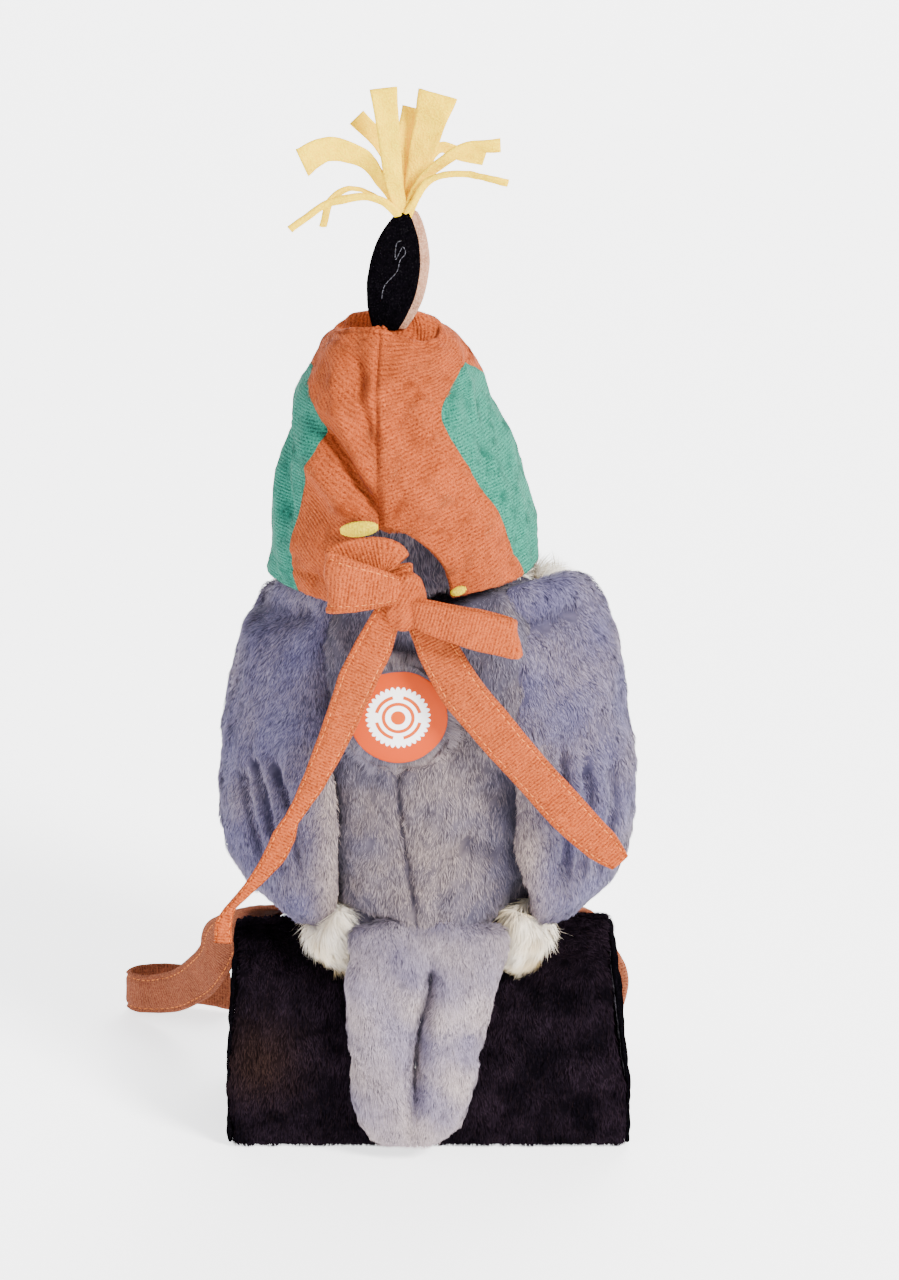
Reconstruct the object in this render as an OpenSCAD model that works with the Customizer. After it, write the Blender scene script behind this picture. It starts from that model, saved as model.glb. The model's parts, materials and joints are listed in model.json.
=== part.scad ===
// Hooded falcon plush with a press-button sound module, sitting on a soft arm cuff.
// Millimetres, +Z up. The bird faces -Y and the origin is the centre of the cuff's flat base.

/* [Cuff] */
// Length of the arm cuff without its two edge bindings
cuff_len = 116; // [100:1:124]
// Radius of the cuff's round top
cuff_r = 30; // [29:0.5:32]
// Width of the cuff's flat base
base_w = 48; // [44:1:52]
// Radius of the lined arm opening
arm_r = 23.5; // [22:0.1:23.5]
// Thickness of the edge bindings
binding_t = 1.4; // [1:0.1:2]

/* [Bird] */
// Thickness of the plush fabric with its pile
skin_t = 3.8; // [3:0.1:4]
// Thickness of the cover fabric on wings and tail
cover_t = 2.6; // [2:0.1:2.8]
// Sideways lean of the head from upright, in degrees
head_lean = 4; // [0:0.5:5]
// Turn of the head about its own axis, in degrees
head_turn = -9; // [-12:1:0]

/* [Hood] */
// Thickness of the hood's doubled fabric
hood_t = 1.6; // [1.2:0.1:1.8]
// Half width of the cut-out for the beak
beak_gap = 11; // [10:0.5:12]
// Width of the hood's tie straps and of the foot straps
strap_w = 14; // [12:0.5:15]
// Thickness of the straps
strap_t = 1.8; // [1.4:0.1:2]

/* [Sound module] */
// Outer radius of the module's case
case_r = 21; // [20.5:0.1:21.3]
// Wall thickness of the case
case_wall = 1.6; // [1.2:0.1:1.8]
// Radius of the push button
button_r = 9; // [7:0.5:10]
// Travel of the push button
button_travel = 2.5; // [1.5:0.1:2.5]
// Radius of the round sticker over the button
sticker_r = 14; // [12:0.5:15]
// Radius of one button cell
cell_r = 5.8; // [5:0.1:5.8]

/* [Hidden] */

gap = 0.3;               // clearance between layers that touch
fill_gap = 0.8;          // clearance between the filling and the skin around it
neck = [5.7, -8, 164.5];   // origin of the head's own frame
button_at = [8.4, 138];    // X and Z of the button's axis, which runs along Y
case_low = -9;           // Y of the case's speaker end
case_split = 4;          // Y where the case and its cover meet
case_high = 15;          // Y of the case's button end
board_low = 5;           // Y of the circuit board's speaker side
board_t = 1.2;
door_screw_y = 15.4;
cap_top = 18;            // Y of the button's face at rest
patch_top = 31;          // Y of the plush patch's face at rest
sticker_t = 0.8;
patch_r = 15.4;
hem_h = 8;               // height of the hood's hem above the neck
hood_top_h = 82;
green_top_h = 70;        // height where the green side panels end
slit_h = 30;             // height where the slit at the back of the hood closes
slit_angle = [17, 30];   // half angles of the slit on the left and on the right of the seam
wing_low = 69;           // Z of the wing's lower tip
wing_high = 160.6;
strap_y = 39;            // Y of the tie straps, behind everything they hang over

// Torso: Z, centre Y, half width, half depth
torso_form = [
    [61, 2, 15, 15], [64, 2, 24, 23], [72, 1, 33, 30.5], [88, -1, 39, 35.5],
    [108, -3, 42, 37.5], [130, -5, 41.5, 36.5], [148, -7, 38, 33],
    [160, -8, 33, 29.5], [167.4, -8, 29.5, 28]
];
// Head: height above the neck, half width, half depth
head_form = [
    [6.5, 29, 28], [18, 30, 29.5], [30, 31, 31.4], [42, 29.8, 30.4],
    [52, 25.5, 26.5], [60, 19, 20], [65, 12, 12.5], [68, 4, 4]
];
// Hood: height above the neck, half width, half depth
hood_form = [
    [5, 39, 39.4], [20, 38.6, 39.2], [30, 37, 38.2], [42, 34.8, 36.2],
    [51, 32, 33.4], [58, 29, 30.4], [65, 26, 27.2], [71, 22.6, 23.4],
    [77, 18, 18.6], [81, 12.5, 13], [83, 8, 8]
];
// Green side panel: height, half angle towards the back, half angle towards the front
green_form = [
    [5, 34, 38], [22, 40, 42], [42, 50, 45], [54, 54, 40], [62, 52, 28], [67, 36, 16], [70, 16, 5]
];
// Wing: Z, centre Y, inner half width, inner half depth, thickness, angle of the rear edge
wing_form = [
    [69, -1, 37.5, 34, 8.5, 42], [75, -1, 40, 35.2, 13, 50], [86, -2, 43, 36.2, 15.5, 56],
    [98, -3, 44, 36.5, 17, 58], [114, -4, 44.5, 36, 16, 56], [132, -6, 43.5, 35, 15, 48],
    [148, -7, 42, 33, 13.5, 41], [156, -8, 40.4, 30.5, 11.5, 37], [160.6, -8, 39.4, 29, 8.5, 35]
];
wing_front = -48;        // angle of the wing's front edge
// Tail: Z, half width, Y of its front face, thickness
tail_form = [
    [6, 10, 33, 6.6], [11, 15.5, 32, 8.5], [22, 18.4, 31.6, 10.5], [38, 20, 31.6, 11],
    [54, 21.8, 32, 10], [64, 23.2, 32.4, 8.5], [70.6, 24, 32.4, 6.8]
];

// ---------- interpolation ----------
function seg(t, z, i = 0) = (i >= len(t) - 2 || z < t[i + 1][0]) ? i : seg(t, z, i + 1);
function bend4(a, b, c, d, t) =
    b + 0.5 * t * (c - a + t * (2 * a - 5 * b + 4 * c - d + t * (3 * (b - c) + d - a)));
function at(t, z) =
    let (i = seg(t, z), n = len(t) - 1, u = (z - t[i][0]) / (t[i + 1][0] - t[i][0]))
    [for (k = [1:len(t[0]) - 1])
        bend4(t[max(i - 1, 0)][k], t[i][k], t[i + 1][k], t[min(i + 2, n)][k], u)];
function steps(a, b, n) = [for (i = [0:n]) a + (b - a) * i / n];
function oval(cx, cy, a, b, phi, z) = [cx + a * cos(phi), cy + b * sin(phi), z];

// ---------- closed solids from grids of points ----------
// A solid between an outer grid and an inner grid; rows go up and columns turn anticlockwise seen from above.
module thick_patch(outer, inner) {
    r = len(outer);
    c = len(outer[0]);
    n = r * c;
    function o(i, j) = i * c + j;
    function q(i, j) = n + i * c + j;
    skins = [for (i = [0:r - 2]) for (j = [0:c - 2]) each [
        [o(i, j), o(i + 1, j), o(i + 1, j + 1)], [o(i, j), o(i + 1, j + 1), o(i, j + 1)],
        [q(i, j), q(i + 1, j + 1), q(i + 1, j)], [q(i, j), q(i, j + 1), q(i + 1, j + 1)]]];
    ends = [for (j = [0:c - 2]) each [
        [o(0, j), o(0, j + 1), q(0, j + 1)], [o(0, j), q(0, j + 1), q(0, j)],
        [o(r - 1, j), q(r - 1, j + 1), o(r - 1, j + 1)], [o(r - 1, j), q(r - 1, j), q(r - 1, j + 1)]]];
    sides = [for (i = [0:r - 2]) each [
        [o(i, 0), q(i, 0), q(i + 1, 0)], [o(i, 0), q(i + 1, 0), o(i + 1, 0)],
        [o(i, c - 1), q(i + 1, c - 1), q(i, c - 1)], [o(i, c - 1), o(i + 1, c - 1), q(i + 1, c - 1)]]];
    polyhedron(points = [for (g = [outer, inner]) for (row = g) each row],
        faces = concat(skins, ends, sides));
}
// A solid through closed rings of points, stacked from first to last, anticlockwise seen from the last one.
module ring_loft(rings) {
    r = len(rings);
    c = len(rings[0]);
    walls = [for (i = [0:r - 2]) for (j = [0:c - 1]) let (k = (j + 1) % c) each [
        [i * c + j, (i + 1) * c + j, (i + 1) * c + k], [i * c + j, (i + 1) * c + k, i * c + k]]];
    polyhedron(points = [for (ring = rings) each ring],
        faces = concat(walls, [[for (j = [0:c - 1]) j]], [[for (j = [c - 1:-1:0]) (r - 1) * c + j]]));
}
function unit(v) = v / norm(v);
function heading(p, i) = unit(p[min(i + 1, len(p) - 1)] - p[max(i - 1, 0)]);
// A flat strap along path; sides holds the direction across it at each point.
module strap(path, sides, w, t) {
    ring_loft([for (i = [0:len(path) - 1])
        let (d = heading(path, i), s = unit(sides[i] - d * (sides[i] * d)), u = cross(d, s))
        [for (k = [[1, -1], [1, 1], [-1, 1], [-1, -1]])
            path[i] + s * k[0] * w / 2 + u * k[1] * t / 2]]);
}
// A round tube along path with a radius at each point.
module tube(path, radii, n = 10) {
    ring_loft([for (i = [0:len(path) - 1])
        let (d = heading(path, i), a = abs(d.x) < 0.8 ? [1, 0, 0] : [0, 0, 1],
            s = unit(a - d * (a * d)), u = cross(d, s))
        [for (k = [0:n - 1])
            path[i] + radii[i] * (s * cos(360 * k / n) + u * sin(360 * k / n))]]);
}

// ---------- frames ----------
module on_head() { translate(neck) rotate([0, head_lean, 0]) rotate([0, 0, head_turn]) children(); }
// Local z runs along world +Y from the module's origin, and local y points down.
module on_button() { translate([button_at.x, 0, button_at.y]) rotate([-90, 0, 0]) children(); }
module x_mirrored() { mirror([1, 0, 0]) children(); }
module both_sides() { children(); x_mirrored() children(); }

// ---------- cuff ----------
module cuff_outline(inset = 0) {
    offset(delta = -inset) hull() {
        translate([0, cuff_r]) circle(r = cuff_r, $fn = 72);
        for (s = [-1, 1]) translate([s * (base_w / 2 + 0.5), 3.4]) circle(r = 3.4, $fn = 24);
    }
}
module along_cuff(length) {
    rotate([90, 0, 90]) linear_extrude(height = length, center = true) children();
}
module arm_hole(r, length) {
    translate([0, 0, cuff_r]) rotate([0, 90, 0]) cylinder(r = r, h = length, center = true, $fn = 96);
}
module cuff_plush() {
    color("#17131a") along_cuff(cuff_len) difference() {
        cuff_outline();
        cuff_outline(skin_t);
    }
}
module cuff_padding() {
    color("#d8d4c8") difference() {
        along_cuff(cuff_len) cuff_outline(skin_t + 0.2);
        arm_hole(arm_r + 1.2, cuff_len + 2);
    }
}
module cuff_lining() {
    color("#2b2730") difference() {
        arm_hole(arm_r + 1, cuff_len);
        arm_hole(arm_r, cuff_len + 2);
    }
}
module cuff_bindings() {
    color("#0e0c10") for (s = [-1, 1]) translate([s * (cuff_len + binding_t + 0.2) / 2, 0, 0])
        difference() {
            along_cuff(binding_t) cuff_outline(0.6);
            arm_hole(arm_r + 0.6, binding_t + 2);
        }
}

// ---------- torso and head ----------
function torso_grid(inset, zs, phis) = [for (z = zs) let (f = at(torso_form, z))
    [for (p = phis) oval(0, f[0], f[1] - inset, f[2] - inset, p, z)]];
function head_grid(inset, hs, phis) = [for (h = hs) let (f = at(head_form, h))
    [for (p = phis) oval(0, 0, max(f[0] - inset, 1), max(f[1] - inset, 1), p, h)]];
torso_zs = steps(61, 167.4, 13);
module case_room(extra) {
    high = case_high - case_low + 2 * extra;
    on_button() translate([0, 0, case_low - extra]) cylinder(r = case_r + extra, h = high, $fn = 72);
}
module torso_panel(from, to, n) {
    phis = steps(from, to, n);
    difference() {
        thick_patch(torso_grid(0, torso_zs, phis), torso_grid(skin_t, torso_zs, phis));
        case_room(gap);
        both_sides() wing_clearance(0.4);
    }
}
module torso_room(extra) { ring_loft(torso_grid(-extra, torso_zs, steps(0, 345, 23))); }
module button_channel(r) { on_button() translate([0, 0, 10]) cylinder(r = r, h = 40, $fn = 64); }
module back_panel_left() {
    color("#77757f") difference() {
        torso_panel(0.4, 89.7, 9);
        button_channel(patch_r + gap);
    }
}
module back_panel_right() {
    color("#77757f") difference() {
        torso_panel(90.3, 179.6, 9);
        button_channel(patch_r + gap);
    }
}
module belly_panel() { color("#e8e2d4") torso_panel(180.4, 359.6, 16); }
head_hs = concat(steps(6.5, 58, 9), [62.5, 66.5]);
module crown_panel() {
    phis = steps(-30, 210, 20);
    color("#6a6872") on_head()
        thick_patch(head_grid(0, head_hs, phis), head_grid(2.4, head_hs, phis));
}
module face_panel() {
    phis = steps(211, 329, 10);
    color("#ece6d8") difference() {
        on_head() thick_patch(head_grid(0, head_hs, phis), head_grid(2.4, head_hs, phis));
        cere_shape(0.2);
    }
}
module stuffing() {
    phis = steps(0, 345, 23);
    color("#f6f4ee") {
        difference() {
            ring_loft(torso_grid(skin_t + fill_gap, steps(62, 166.4, 12), phis));
            case_room(0.5);
            on_button() translate([0, door_screw_y, case_low]) cylinder(r = 2, h = 3, center = true);
            button_channel(patch_r + gap);
        }
        on_head() ring_loft(head_grid(2.4 + fill_gap, concat(steps(7, 58, 8), [62, 64.5]), phis));
    }
}
module neck_ruff() {
    path = [for (p = steps(175, 365, 16)) oval(0.6, -8, 33.4, 31.6, p, 162.4 + 1.5 * sin(p))];
    color("#f2ecdf") difference() {
        tube(path, [for (i = [0:16]) 2.6 + 1.2 * sin(180 * i / 16)], 8);
        torso_room(0.25);
        both_sides() wing_clearance(1.2);
    }
}
module beak() {
    color("#4c5560") on_head() tube(
        [[0, -34.4, 26.2], [0, -37.5, 27], [0, -41, 26.6], [0, -44, 24.4], [0, -45.6, 21], [0, -45.2, 17.6]],
        [5.6, 6, 5.4, 4, 2.4, 0.5], 12);
}
module cere_shape(extra) {
    on_head() tube([[0, -31.8 + extra, 25.6], [0, -32.8, 25.8], [0, -33.7, 26]],
        [6.4 + extra, 7 + extra, 6.6 + extra], 12);
}
module cere() {
    color("#e2b93b") difference() {
        cere_shape(0);
        on_head() translate([0, -39.1, 26]) cube([20, 10, 20], center = true);
    }
}
eye_angle = 47;          // turn of each eye from the front
eye_h = 36;
module at_eyes() {
    for (s = [-1, 1]) on_head() rotate([0, 0, s * eye_angle]) translate([0, -31.9, eye_h])
        rotate([90, 0, 0]) children();
}
module eyes() {
    color("#15110f") at_eyes() {
        translate([0, 0, -0.4]) intersection() {
            translate([0, 0, -5.2]) sphere(r = 7, $fn = 48);
            translate([0, 0, 0]) cylinder(r = 4.6, h = 3, $fn = 48);
        }
    }
}
module eye_washers() {
    color("#e9c64a") at_eyes() translate([0, 0, -0.4]) difference() {
        cylinder(r = 5.8, h = 0.9, $fn = 48);
        translate([0, 0, -1]) cylinder(r = 4.75, h = 4, $fn = 48);
    }
}
module thighs() {
    color("#efe9da") difference() {
        for (s = [-1, 1]) ring_loft([for (f = [[56, 7, 16], [59, 10, 21], [66, 12, 25], [76, 10, 24]])
            [for (p = steps(0, 337.5, 15)) oval(s * 27, 4, f[1], f[2], p, f[0])]]);
        torso_room(0.4);
        translate([0, 0, cuff_r]) rotate([0, 90, 0])
            cylinder(r = cuff_r + 3, h = cuff_len, center = true, $fn = 96);
        both_sides() wing_clearance(1.2);
        for (s = [-1, 1]) foot(s, gap);
        left_strap(gap);
        right_strap(gap);
    }
}
// Three front toes and one hind toe that lie on the cuff's round top.
function on_cuff(x, angle, lift) =
    [x, (cuff_r + lift) * sin(angle), cuff_r + (cuff_r + lift) * cos(angle)];
toe_spread = [-9, 0, 9];
module foot(s, extra = 0) {
    x = s * 26;
    for (k = toe_spread) tube(
        [for (a = [-33, -42, -51, -60, -68]) on_cuff(x + k * (-33 - a) / 35 + k * 0.25, a, 2.7)],
        [for (r = [2.3, 2.4, 2.2, 2.1, 1.6]) r + extra], 8);
    tube([on_cuff(x, -34, 6.2 + extra), on_cuff(x, -35, 3.4), on_cuff(x, -36.5, 0.9)],
        [for (r = [3.6, 4.2, 4.2]) r + extra], 12);
    tube([on_cuff(x, -24, 2.7), on_cuff(x, -18, 2.6), on_cuff(x, -13, 2.2)],
        [for (r = [2, 1.9, 1.3]) r + extra], 8);
}
module left_foot() { color("#e6b52e") foot(1); }
module right_foot() { color("#e6b52e") foot(-1); }
module claws() {
    color("#1d1a1c") for (s = [-1, 1]) for (k = toe_spread) tube(
        [for (a = [-69.5, -73, -77]) on_cuff(s * 26 + k * (-33 - a) / 35 + k * 0.25, a, 2.4 - (a + 77) * -0.05)],
        [1.4, 1.1, 0.3], 8);
}

// ---------- foot straps ----------
left_jess_path = [
    [31, -8, 61.8], [38, -10.5, 61.2], [45, -14.8, 58.8], [52, -21, 54.4],
    [58.4, -27.4, 48.6], [63.2, -32.8, 41], [66.4, -38, 31], [72, -46, 21.4],
    [79, -54, 14], [86, -60, 10], [92, -65, 8.2], [95, -70, 7.4],
    [92.4, -74.4, 7.4], [86, -75.6, 7.4], [78, -74, 7.4], [70, -71, 7.4], [63, -68, 7.4]
];
left_jess_sides = [
    [0, 1, 0.25], [0.15, 1, 0.3], [0.5, 0.8, 0.4], [0.77, 0.48, 0.42],
    [0.8, 0.25, 0.47], [0.62, -0.1, 0.66], [0.5, -0.35, 0.75], [0.5, -0.3, 0.8],
    [0.4, -0.2, 0.9], [0.2, -0.1, 1], [0, 0, 1], [0, 0, 1],
    [0, 0, 1], [0, 0, 1], [0, 0, 1], [0, 0, 1], [0, 0, 1]
];
right_jess_path = [
    [-33, -6, 61.8], [-37, -9.5, 61.2], [-41, -16, 58], [-45, -24, 51.8], [-48.4, -31, 43.8],
    [-52, -36, 34], [-54.6, -38.6, 25], [-54, -40.5, 16], [-52, -43.5, 7.2], [-47.6, -48, 2.6],
    [-40, -51.5, 1.2], [-31, -53.4, 1.2], [-22, -54.3, 1.2], [-13, -54, 1.2], [-5, -53, 1.2]
];
right_jess_sides = [
    [-0.2, 1, 0.3], [-0.5, 0.9, 0.3], [-0.88, 0.42, 0.2], [-1, 0.25, 0.1], [-1, 0.15, 0],
    [-1, 0.1, 0], [-1, 0.1, 0], [-1, 0, 0.2], [-0.8, -0.6, 0], [-0.5, -1, 0],
    [-0.3, -1, 0], [-0.1, -1, 0], [0, -1, 0], [0.05, -1, 0], [0.1, -1, 0]
];
module left_strap(extra) {
    strap(left_jess_path, left_jess_sides, strap_w + 2 * extra, strap_t + 2 * extra);
}
module right_strap(extra) {
    strap(right_jess_path, right_jess_sides, strap_w + 2 * extra, strap_t + 2 * extra);
}
module left_jess() { color("#a9603f") left_strap(0); }
module right_jess() { color("#a9603f") right_strap(0); }

// ---------- sound module ----------
inner_r = case_r - case_wall;
boss_x = 16.4;
speaker_y = -8.6;        // centre of the speaker in the module's plane
cell_y = 10;             // centre line of the stack of cells
cell_z = -1.6;
cell_t = 5.2;
door = [19, 13];
module tooth_ring(z, h) { translate([0, 0, z]) cylinder(r = case_r, h = h, $fn = 96); }
module boss_holes(r, from, h) {
    for (s = [-1, 1]) translate([s * boss_x, 0, from]) cylinder(r = r, h = h, $fn = 24);
}
module module_case() {
    color("#ececec") on_button() difference() {
        union() {
            difference() {
                tooth_ring(case_split, case_high - case_split);
                translate([0, 0, case_split - 1])
                    cylinder(r = inner_r, h = case_high - case_wall - case_split + 1, $fn = 96);
            }
            intersection() {
                for (s = [-1, 1]) translate([s * boss_x, 0, 6.6]) cylinder(r = 2.4, h = 7.2, $fn = 24);
                tooth_ring(case_split, case_high - case_split);
            }
        }
        translate([0, 0, case_high - case_wall - 1]) cylinder(r = button_r + 0.15, h = 5, $fn = 72);
        boss_holes(0.8, 6, 6);
    }
}
module module_cover() {
    color("#e4e4e6") on_button() difference() {
        union() {
            difference() {
                tooth_ring(case_low, case_split - case_low - 0.05);
                translate([0, 0, case_low + case_wall]) cylinder(r = inner_r, h = 20, $fn = 96);
            }
            intersection() {
                boss_post();
                tooth_ring(case_low, case_split - case_low - 0.05);
            }
            translate([-2.4, 14.6, case_low + case_wall + 0.05]) cube([4.8, 5.2, 2]);
        }
        translate([-door.x / 2 - 0.2, cell_y - door.y / 2 - 0.2, case_low - 1])
            cube([door.x + 0.4, door.y + 0.4, case_wall + 1.02]);
        translate([0, speaker_y, case_low - 1]) for (a = [0:60:300]) rotate([0, 0, a])
            translate([5, 0, 0]) cylinder(r = 1, h = 4, $fn = 20);
        translate([0, speaker_y, case_low - 1]) cylinder(r = 1, h = 4, $fn = 20);
        boss_holes(1, case_low + 1.6, 20);
        boss_holes(1.9, case_low - 1, 2.6);
        translate([0, 15.4, case_low]) cylinder(r = 0.7, h = 5, $fn = 20);
    }
}
module boss_post() {
    for (s = [-1, 1]) translate([s * boss_x, 0, case_low]) cylinder(r = 2.4, h = 12.9, $fn = 24);
}
module circuit_board() {
    color("#2f7d46") on_button() translate([0, 0, board_low]) difference() {
        cylinder(r = inner_r - 0.6, h = board_t, $fn = 96);
        boss_holes(2.7, -1, 4);
        for (s = [-1, 1]) translate([s * (boss_x + 1.4), 0, 1]) cube([5, 5.4, 6], center = true);
    }
}
module speaker_frame() {
    color("#3a3a3d") on_button() translate([0, speaker_y, 0]) {
        difference() {
            translate([0, 0, -7.2]) cylinder(r = 9.4, h = 3.2, $fn = 64);
            translate([0, 0, -8]) cylinder(r = 8.4, h = 3, $fn = 64);
        }
        translate([0, 0, -4]) cylinder(r = 6, h = 3.6, $fn = 48);
    }
}
module speaker_cone() {
    color("#151517") on_button() translate([0, speaker_y, -6.9]) difference() {
        cylinder(r1 = 8.2, r2 = 3.4, h = 1.7, $fn = 64);
        translate([0, 0, -0.3]) cylinder(r1 = 7.8, r2 = 3, h = 1.6, $fn = 64);
    }
}
module battery_cells() {
    color("#c7c9cc") on_button() translate([0, cell_y, cell_z]) rotate([0, 90, 0])
        for (k = [-1, 0, 1]) translate([0, 0, k * (cell_t + 0.15)])
            cylinder(r = cell_r, h = cell_t, center = true, $fn = 48);
}
module battery_contacts() {
    color("#b8bcc0") on_button() for (s = [-1, 1])
        translate([s * 8.25, cell_y, cell_z]) cube([0.5, 8, 8], center = true);
}
module battery_door() {
    color("#dcdcdf") on_button() translate([-door.x / 2, cell_y - door.y / 2, case_low])
        difference() {
            cube([door.x, door.y, case_wall - 0.1]);
            translate([door.x / 2, 15.4 - cell_y + door.y / 2, -1]) cylinder(r = 0.9, h = 5, $fn = 20);
        }
}
module screw(head_r, head_h, shank_r, length) {
    cylinder(r = head_r, h = head_h, $fn = 32);
    cylinder(r = shank_r, h = length, $fn = 24);
}
module door_screw() {
    color("#8f949a") on_button() translate([0, door_screw_y, case_low - 0.9]) screw(1.5, 0.85, 0.65, 4.2);
}
module case_screws() {
    color("#8f949a") on_button() for (s = [-1, 1])
        translate([s * boss_x, 0, case_low + 0.2]) screw(1.7, 1.2, 0.75, 18);
}
module speaker_leads() {
    color("#c33a2c") for (s = [-1, 1]) on_button() tube([
        [s * 2, speaker_y + 6.6, -2.6], [s * 3.4, speaker_y + 8, -1.4], [s * 4.8, speaker_y + 8.4, 0.6],
        [s * 5, speaker_y + 7.6, 2.8], [s * 4.4, speaker_y + 6, 4.4]], [0.4, 0.4, 0.4, 0.4, 0.4], 8);
}
spring_turns = 3;
spring_low = board_low + board_t + 0.35;
spring_high = 10.1;
module button_spring() {
    n = 16 * spring_turns;
    color("#b9bcc2") on_button() tube([for (i = [0:n])
        [5.4 * cos(360 * i / 16), 5.4 * sin(360 * i / 16),
            spring_low + (spring_high - spring_low) * i / n]], [for (i = [0:n]) 0.25], 6);
}
module button_cap() {
    color("#d8382a") on_button() {
        translate([0, 0, 10.5]) cylinder(r = button_r + 1.5, h = 2, $fn = 64);
        translate([0, 0, 12]) cylinder(r = button_r, h = cap_top - 12, $fn = 64);
        translate([0, 0, board_low + board_t + button_travel + 0.1]) cylinder(r = 3, h = 4, $fn = 32);
    }
}
module press_patch() {
    color("#77757f") on_button() translate([0, 0, cap_top + 0.2])
        cylinder(r = patch_r, h = patch_top - cap_top - 0.2, $fn = 72);
}
module press_sticker() {
    color("#f0502a") on_button() translate([0, 0, patch_top + 0.05])
        cylinder(r = sticker_r, h = sticker_t, $fn = 72);
}

// ---------- hood ----------
function hood_point(inset, phi, h) = let (f = at(hood_form, h))
    oval(0, 0, f[0] - inset, f[1] - inset, phi, h);
function green(h, k) = h < green_top_h ? max(at(green_form, h)[k], 0) : 0;
function slit(h, k) = h < slit_h ? slit_angle[k] * sqrt(1 - pow((h - hem_h) / (slit_h - hem_h), 2)) : 0;
low_hs = steps(hem_h, green_top_h - 0.6, 12);
high_hs = [green_top_h + 1.4, 74, 77, 80, hood_top_h];
// A hood panel between two angles that are given at each height.
module hood_panel(hs, from, to, n) {
    thick_patch(
        [for (i = [0:len(hs) - 1]) [for (p = steps(from[i], to[i], n)) hood_point(0, p, hs[i])]],
        [for (i = [0:len(hs) - 1]) [for (p = steps(from[i], to[i], n)) hood_point(hood_t, p, hs[i])]]);
}
all_hs = concat(low_hs, high_hs);
module hood_back(s) {
    rear = [for (h = all_hs) 89.6 - slit(h, s > 0 ? 0 : 1)];
    side = [for (h = all_hs) green(h, 0) + 0.4];
    if (s > 0) hood_panel(all_hs, side, rear, 8);
    else hood_panel(all_hs, [for (a = rear) 180 - a], [for (a = side) 180 - a], 8);
}
module hood_side(s) {
    back = [for (h = low_hs) green(h, 0)];
    front = [for (h = low_hs) -green(h, 1)];
    if (s > 0) hood_panel(low_hs, front, back, 8);
    else hood_panel(low_hs, [for (a = back) 180 - a], [for (a = front) 180 - a], 8);
}
module hood_back_left() { color("#b5603a") on_head() hood_back(1); }
module hood_back_right() { color("#b5603a") on_head() hood_back(-1); }
module hood_side_left() { color("#2f8f72") on_head() hood_side(1); }
module hood_side_right() { color("#2f8f72") on_head() hood_side(-1); }
module hood_front() {
    color("#b5603a") on_head() difference() {
        hood_panel(all_hs, [for (h = all_hs) 180.4 + green(h, 1)],
            [for (h = all_hs) 359.6 - green(h, 1)], 14);
        translate([-beak_gap, -60, -5]) cube([2 * beak_gap, 40, 34]);
        translate([0, -20, 29]) rotate([90, 0, 0]) cylinder(r = beak_gap, h = 40, $fn = 48);
    }
}
tab_base = [12.2, -5.5, 242.6];
module leaf(width, height) {
    r = (width * width / 4 + height * height / 4) / width;
    intersection() {
        translate([r - width / 2, 0]) circle(r = r, $fn = 96);
        translate([width / 2 - r, 0]) circle(r = r, $fn = 96);
        square([width * 2, height - 4], center = true);
    }
}
module at_tab(y) { translate(tab_base + [0, y, 0]) rotate([0, -8, 0]) rotate([90, 0, 0]) children(); }
module crest_tab_back() {
    color("#15131a") at_tab(3.2) translate([0, 15.6, 0]) linear_extrude(height = 2.4) leaf(16.4, 35);
}
module crest_tab_front() {
    color("#b38a70") at_tab(0.6) translate([-0.8, 15.6, 0]) linear_extrude(height = 2.4) leaf(17, 35);
}
// Each strip of the plume: end point, middle point and direction across it.
plume_root = [7.8, -4.4, 272.4];
plume_strips = [
    [[12.5, -3, 310], [10.4, -2.6, 290], [1, 0, 0.1], 10.5, [0, 2.2, 0]],
    [[-3, -9, 307], [2.5, -7, 292], [1, 0, 0.25], 11.5, [-1.5, -1.5, 0.6]],
    [[34, -6, 293.5], [21, -5, 288], [0.35, 0.2, -1], 10.5, [3, 1, 1.6]],
    [[39, 1, 270.5], [25, 0, 278], [0.1, 1, 0.1], 9, [3, 2, 0]],
    [[29, -12, 269.5], [22, -9, 279], [0.2, 1, 0], 8, [3, -3, 1.2]],
    [[-23, 1, 283], [-10, 1, 287], [-0.1, 1, 0.3], 9, [-3, 2, 1.4]],
    [[-22, -10, 293], [-12, -9, 292], [0.2, 0.8, 0.8], 9, [-3, -3, 2.6]],
    [[-17, -16, 288], [-8, -12, 281], [0, 1, 0.2], 9, [-2.6, -4, 0.6]]
];
module crest_plume() {
    color("#f3d768") difference() {
        plume_bundle();
        at_tab(3.4) translate([0, 15.6, 0]) linear_extrude(height = 2.8) leaf(16.8, 35.4);
        at_tab(0.8) translate([-0.8, 15.6, 0]) linear_extrude(height = 2.8) leaf(17.4, 35.4);
    }
}
module plume_bundle() {
    for (s = plume_strips) {
        a = plume_root + s[4];
        path = [for (u = steps(0, 1, 6))
            a * (1 - u) * (1 - u) + (2 * s[1] - (a + s[0]) / 2) * 2 * u * (1 - u) + s[0] * u * u];
        ring_loft([for (i = [0:6]) let (d = heading(path, i), k = unit(s[2] - d * (s[2] * d)),
                u = cross(d, k), w = s[3] * (0.34 + 0.66 * min(1, i / 3)))
            [for (c = [[1, -1], [1, 1], [-1, 1], [-1, -1]]) path[i] + k * c[0] * w / 2 + u * c[1] * 0.5]]);
    }
}

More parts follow.
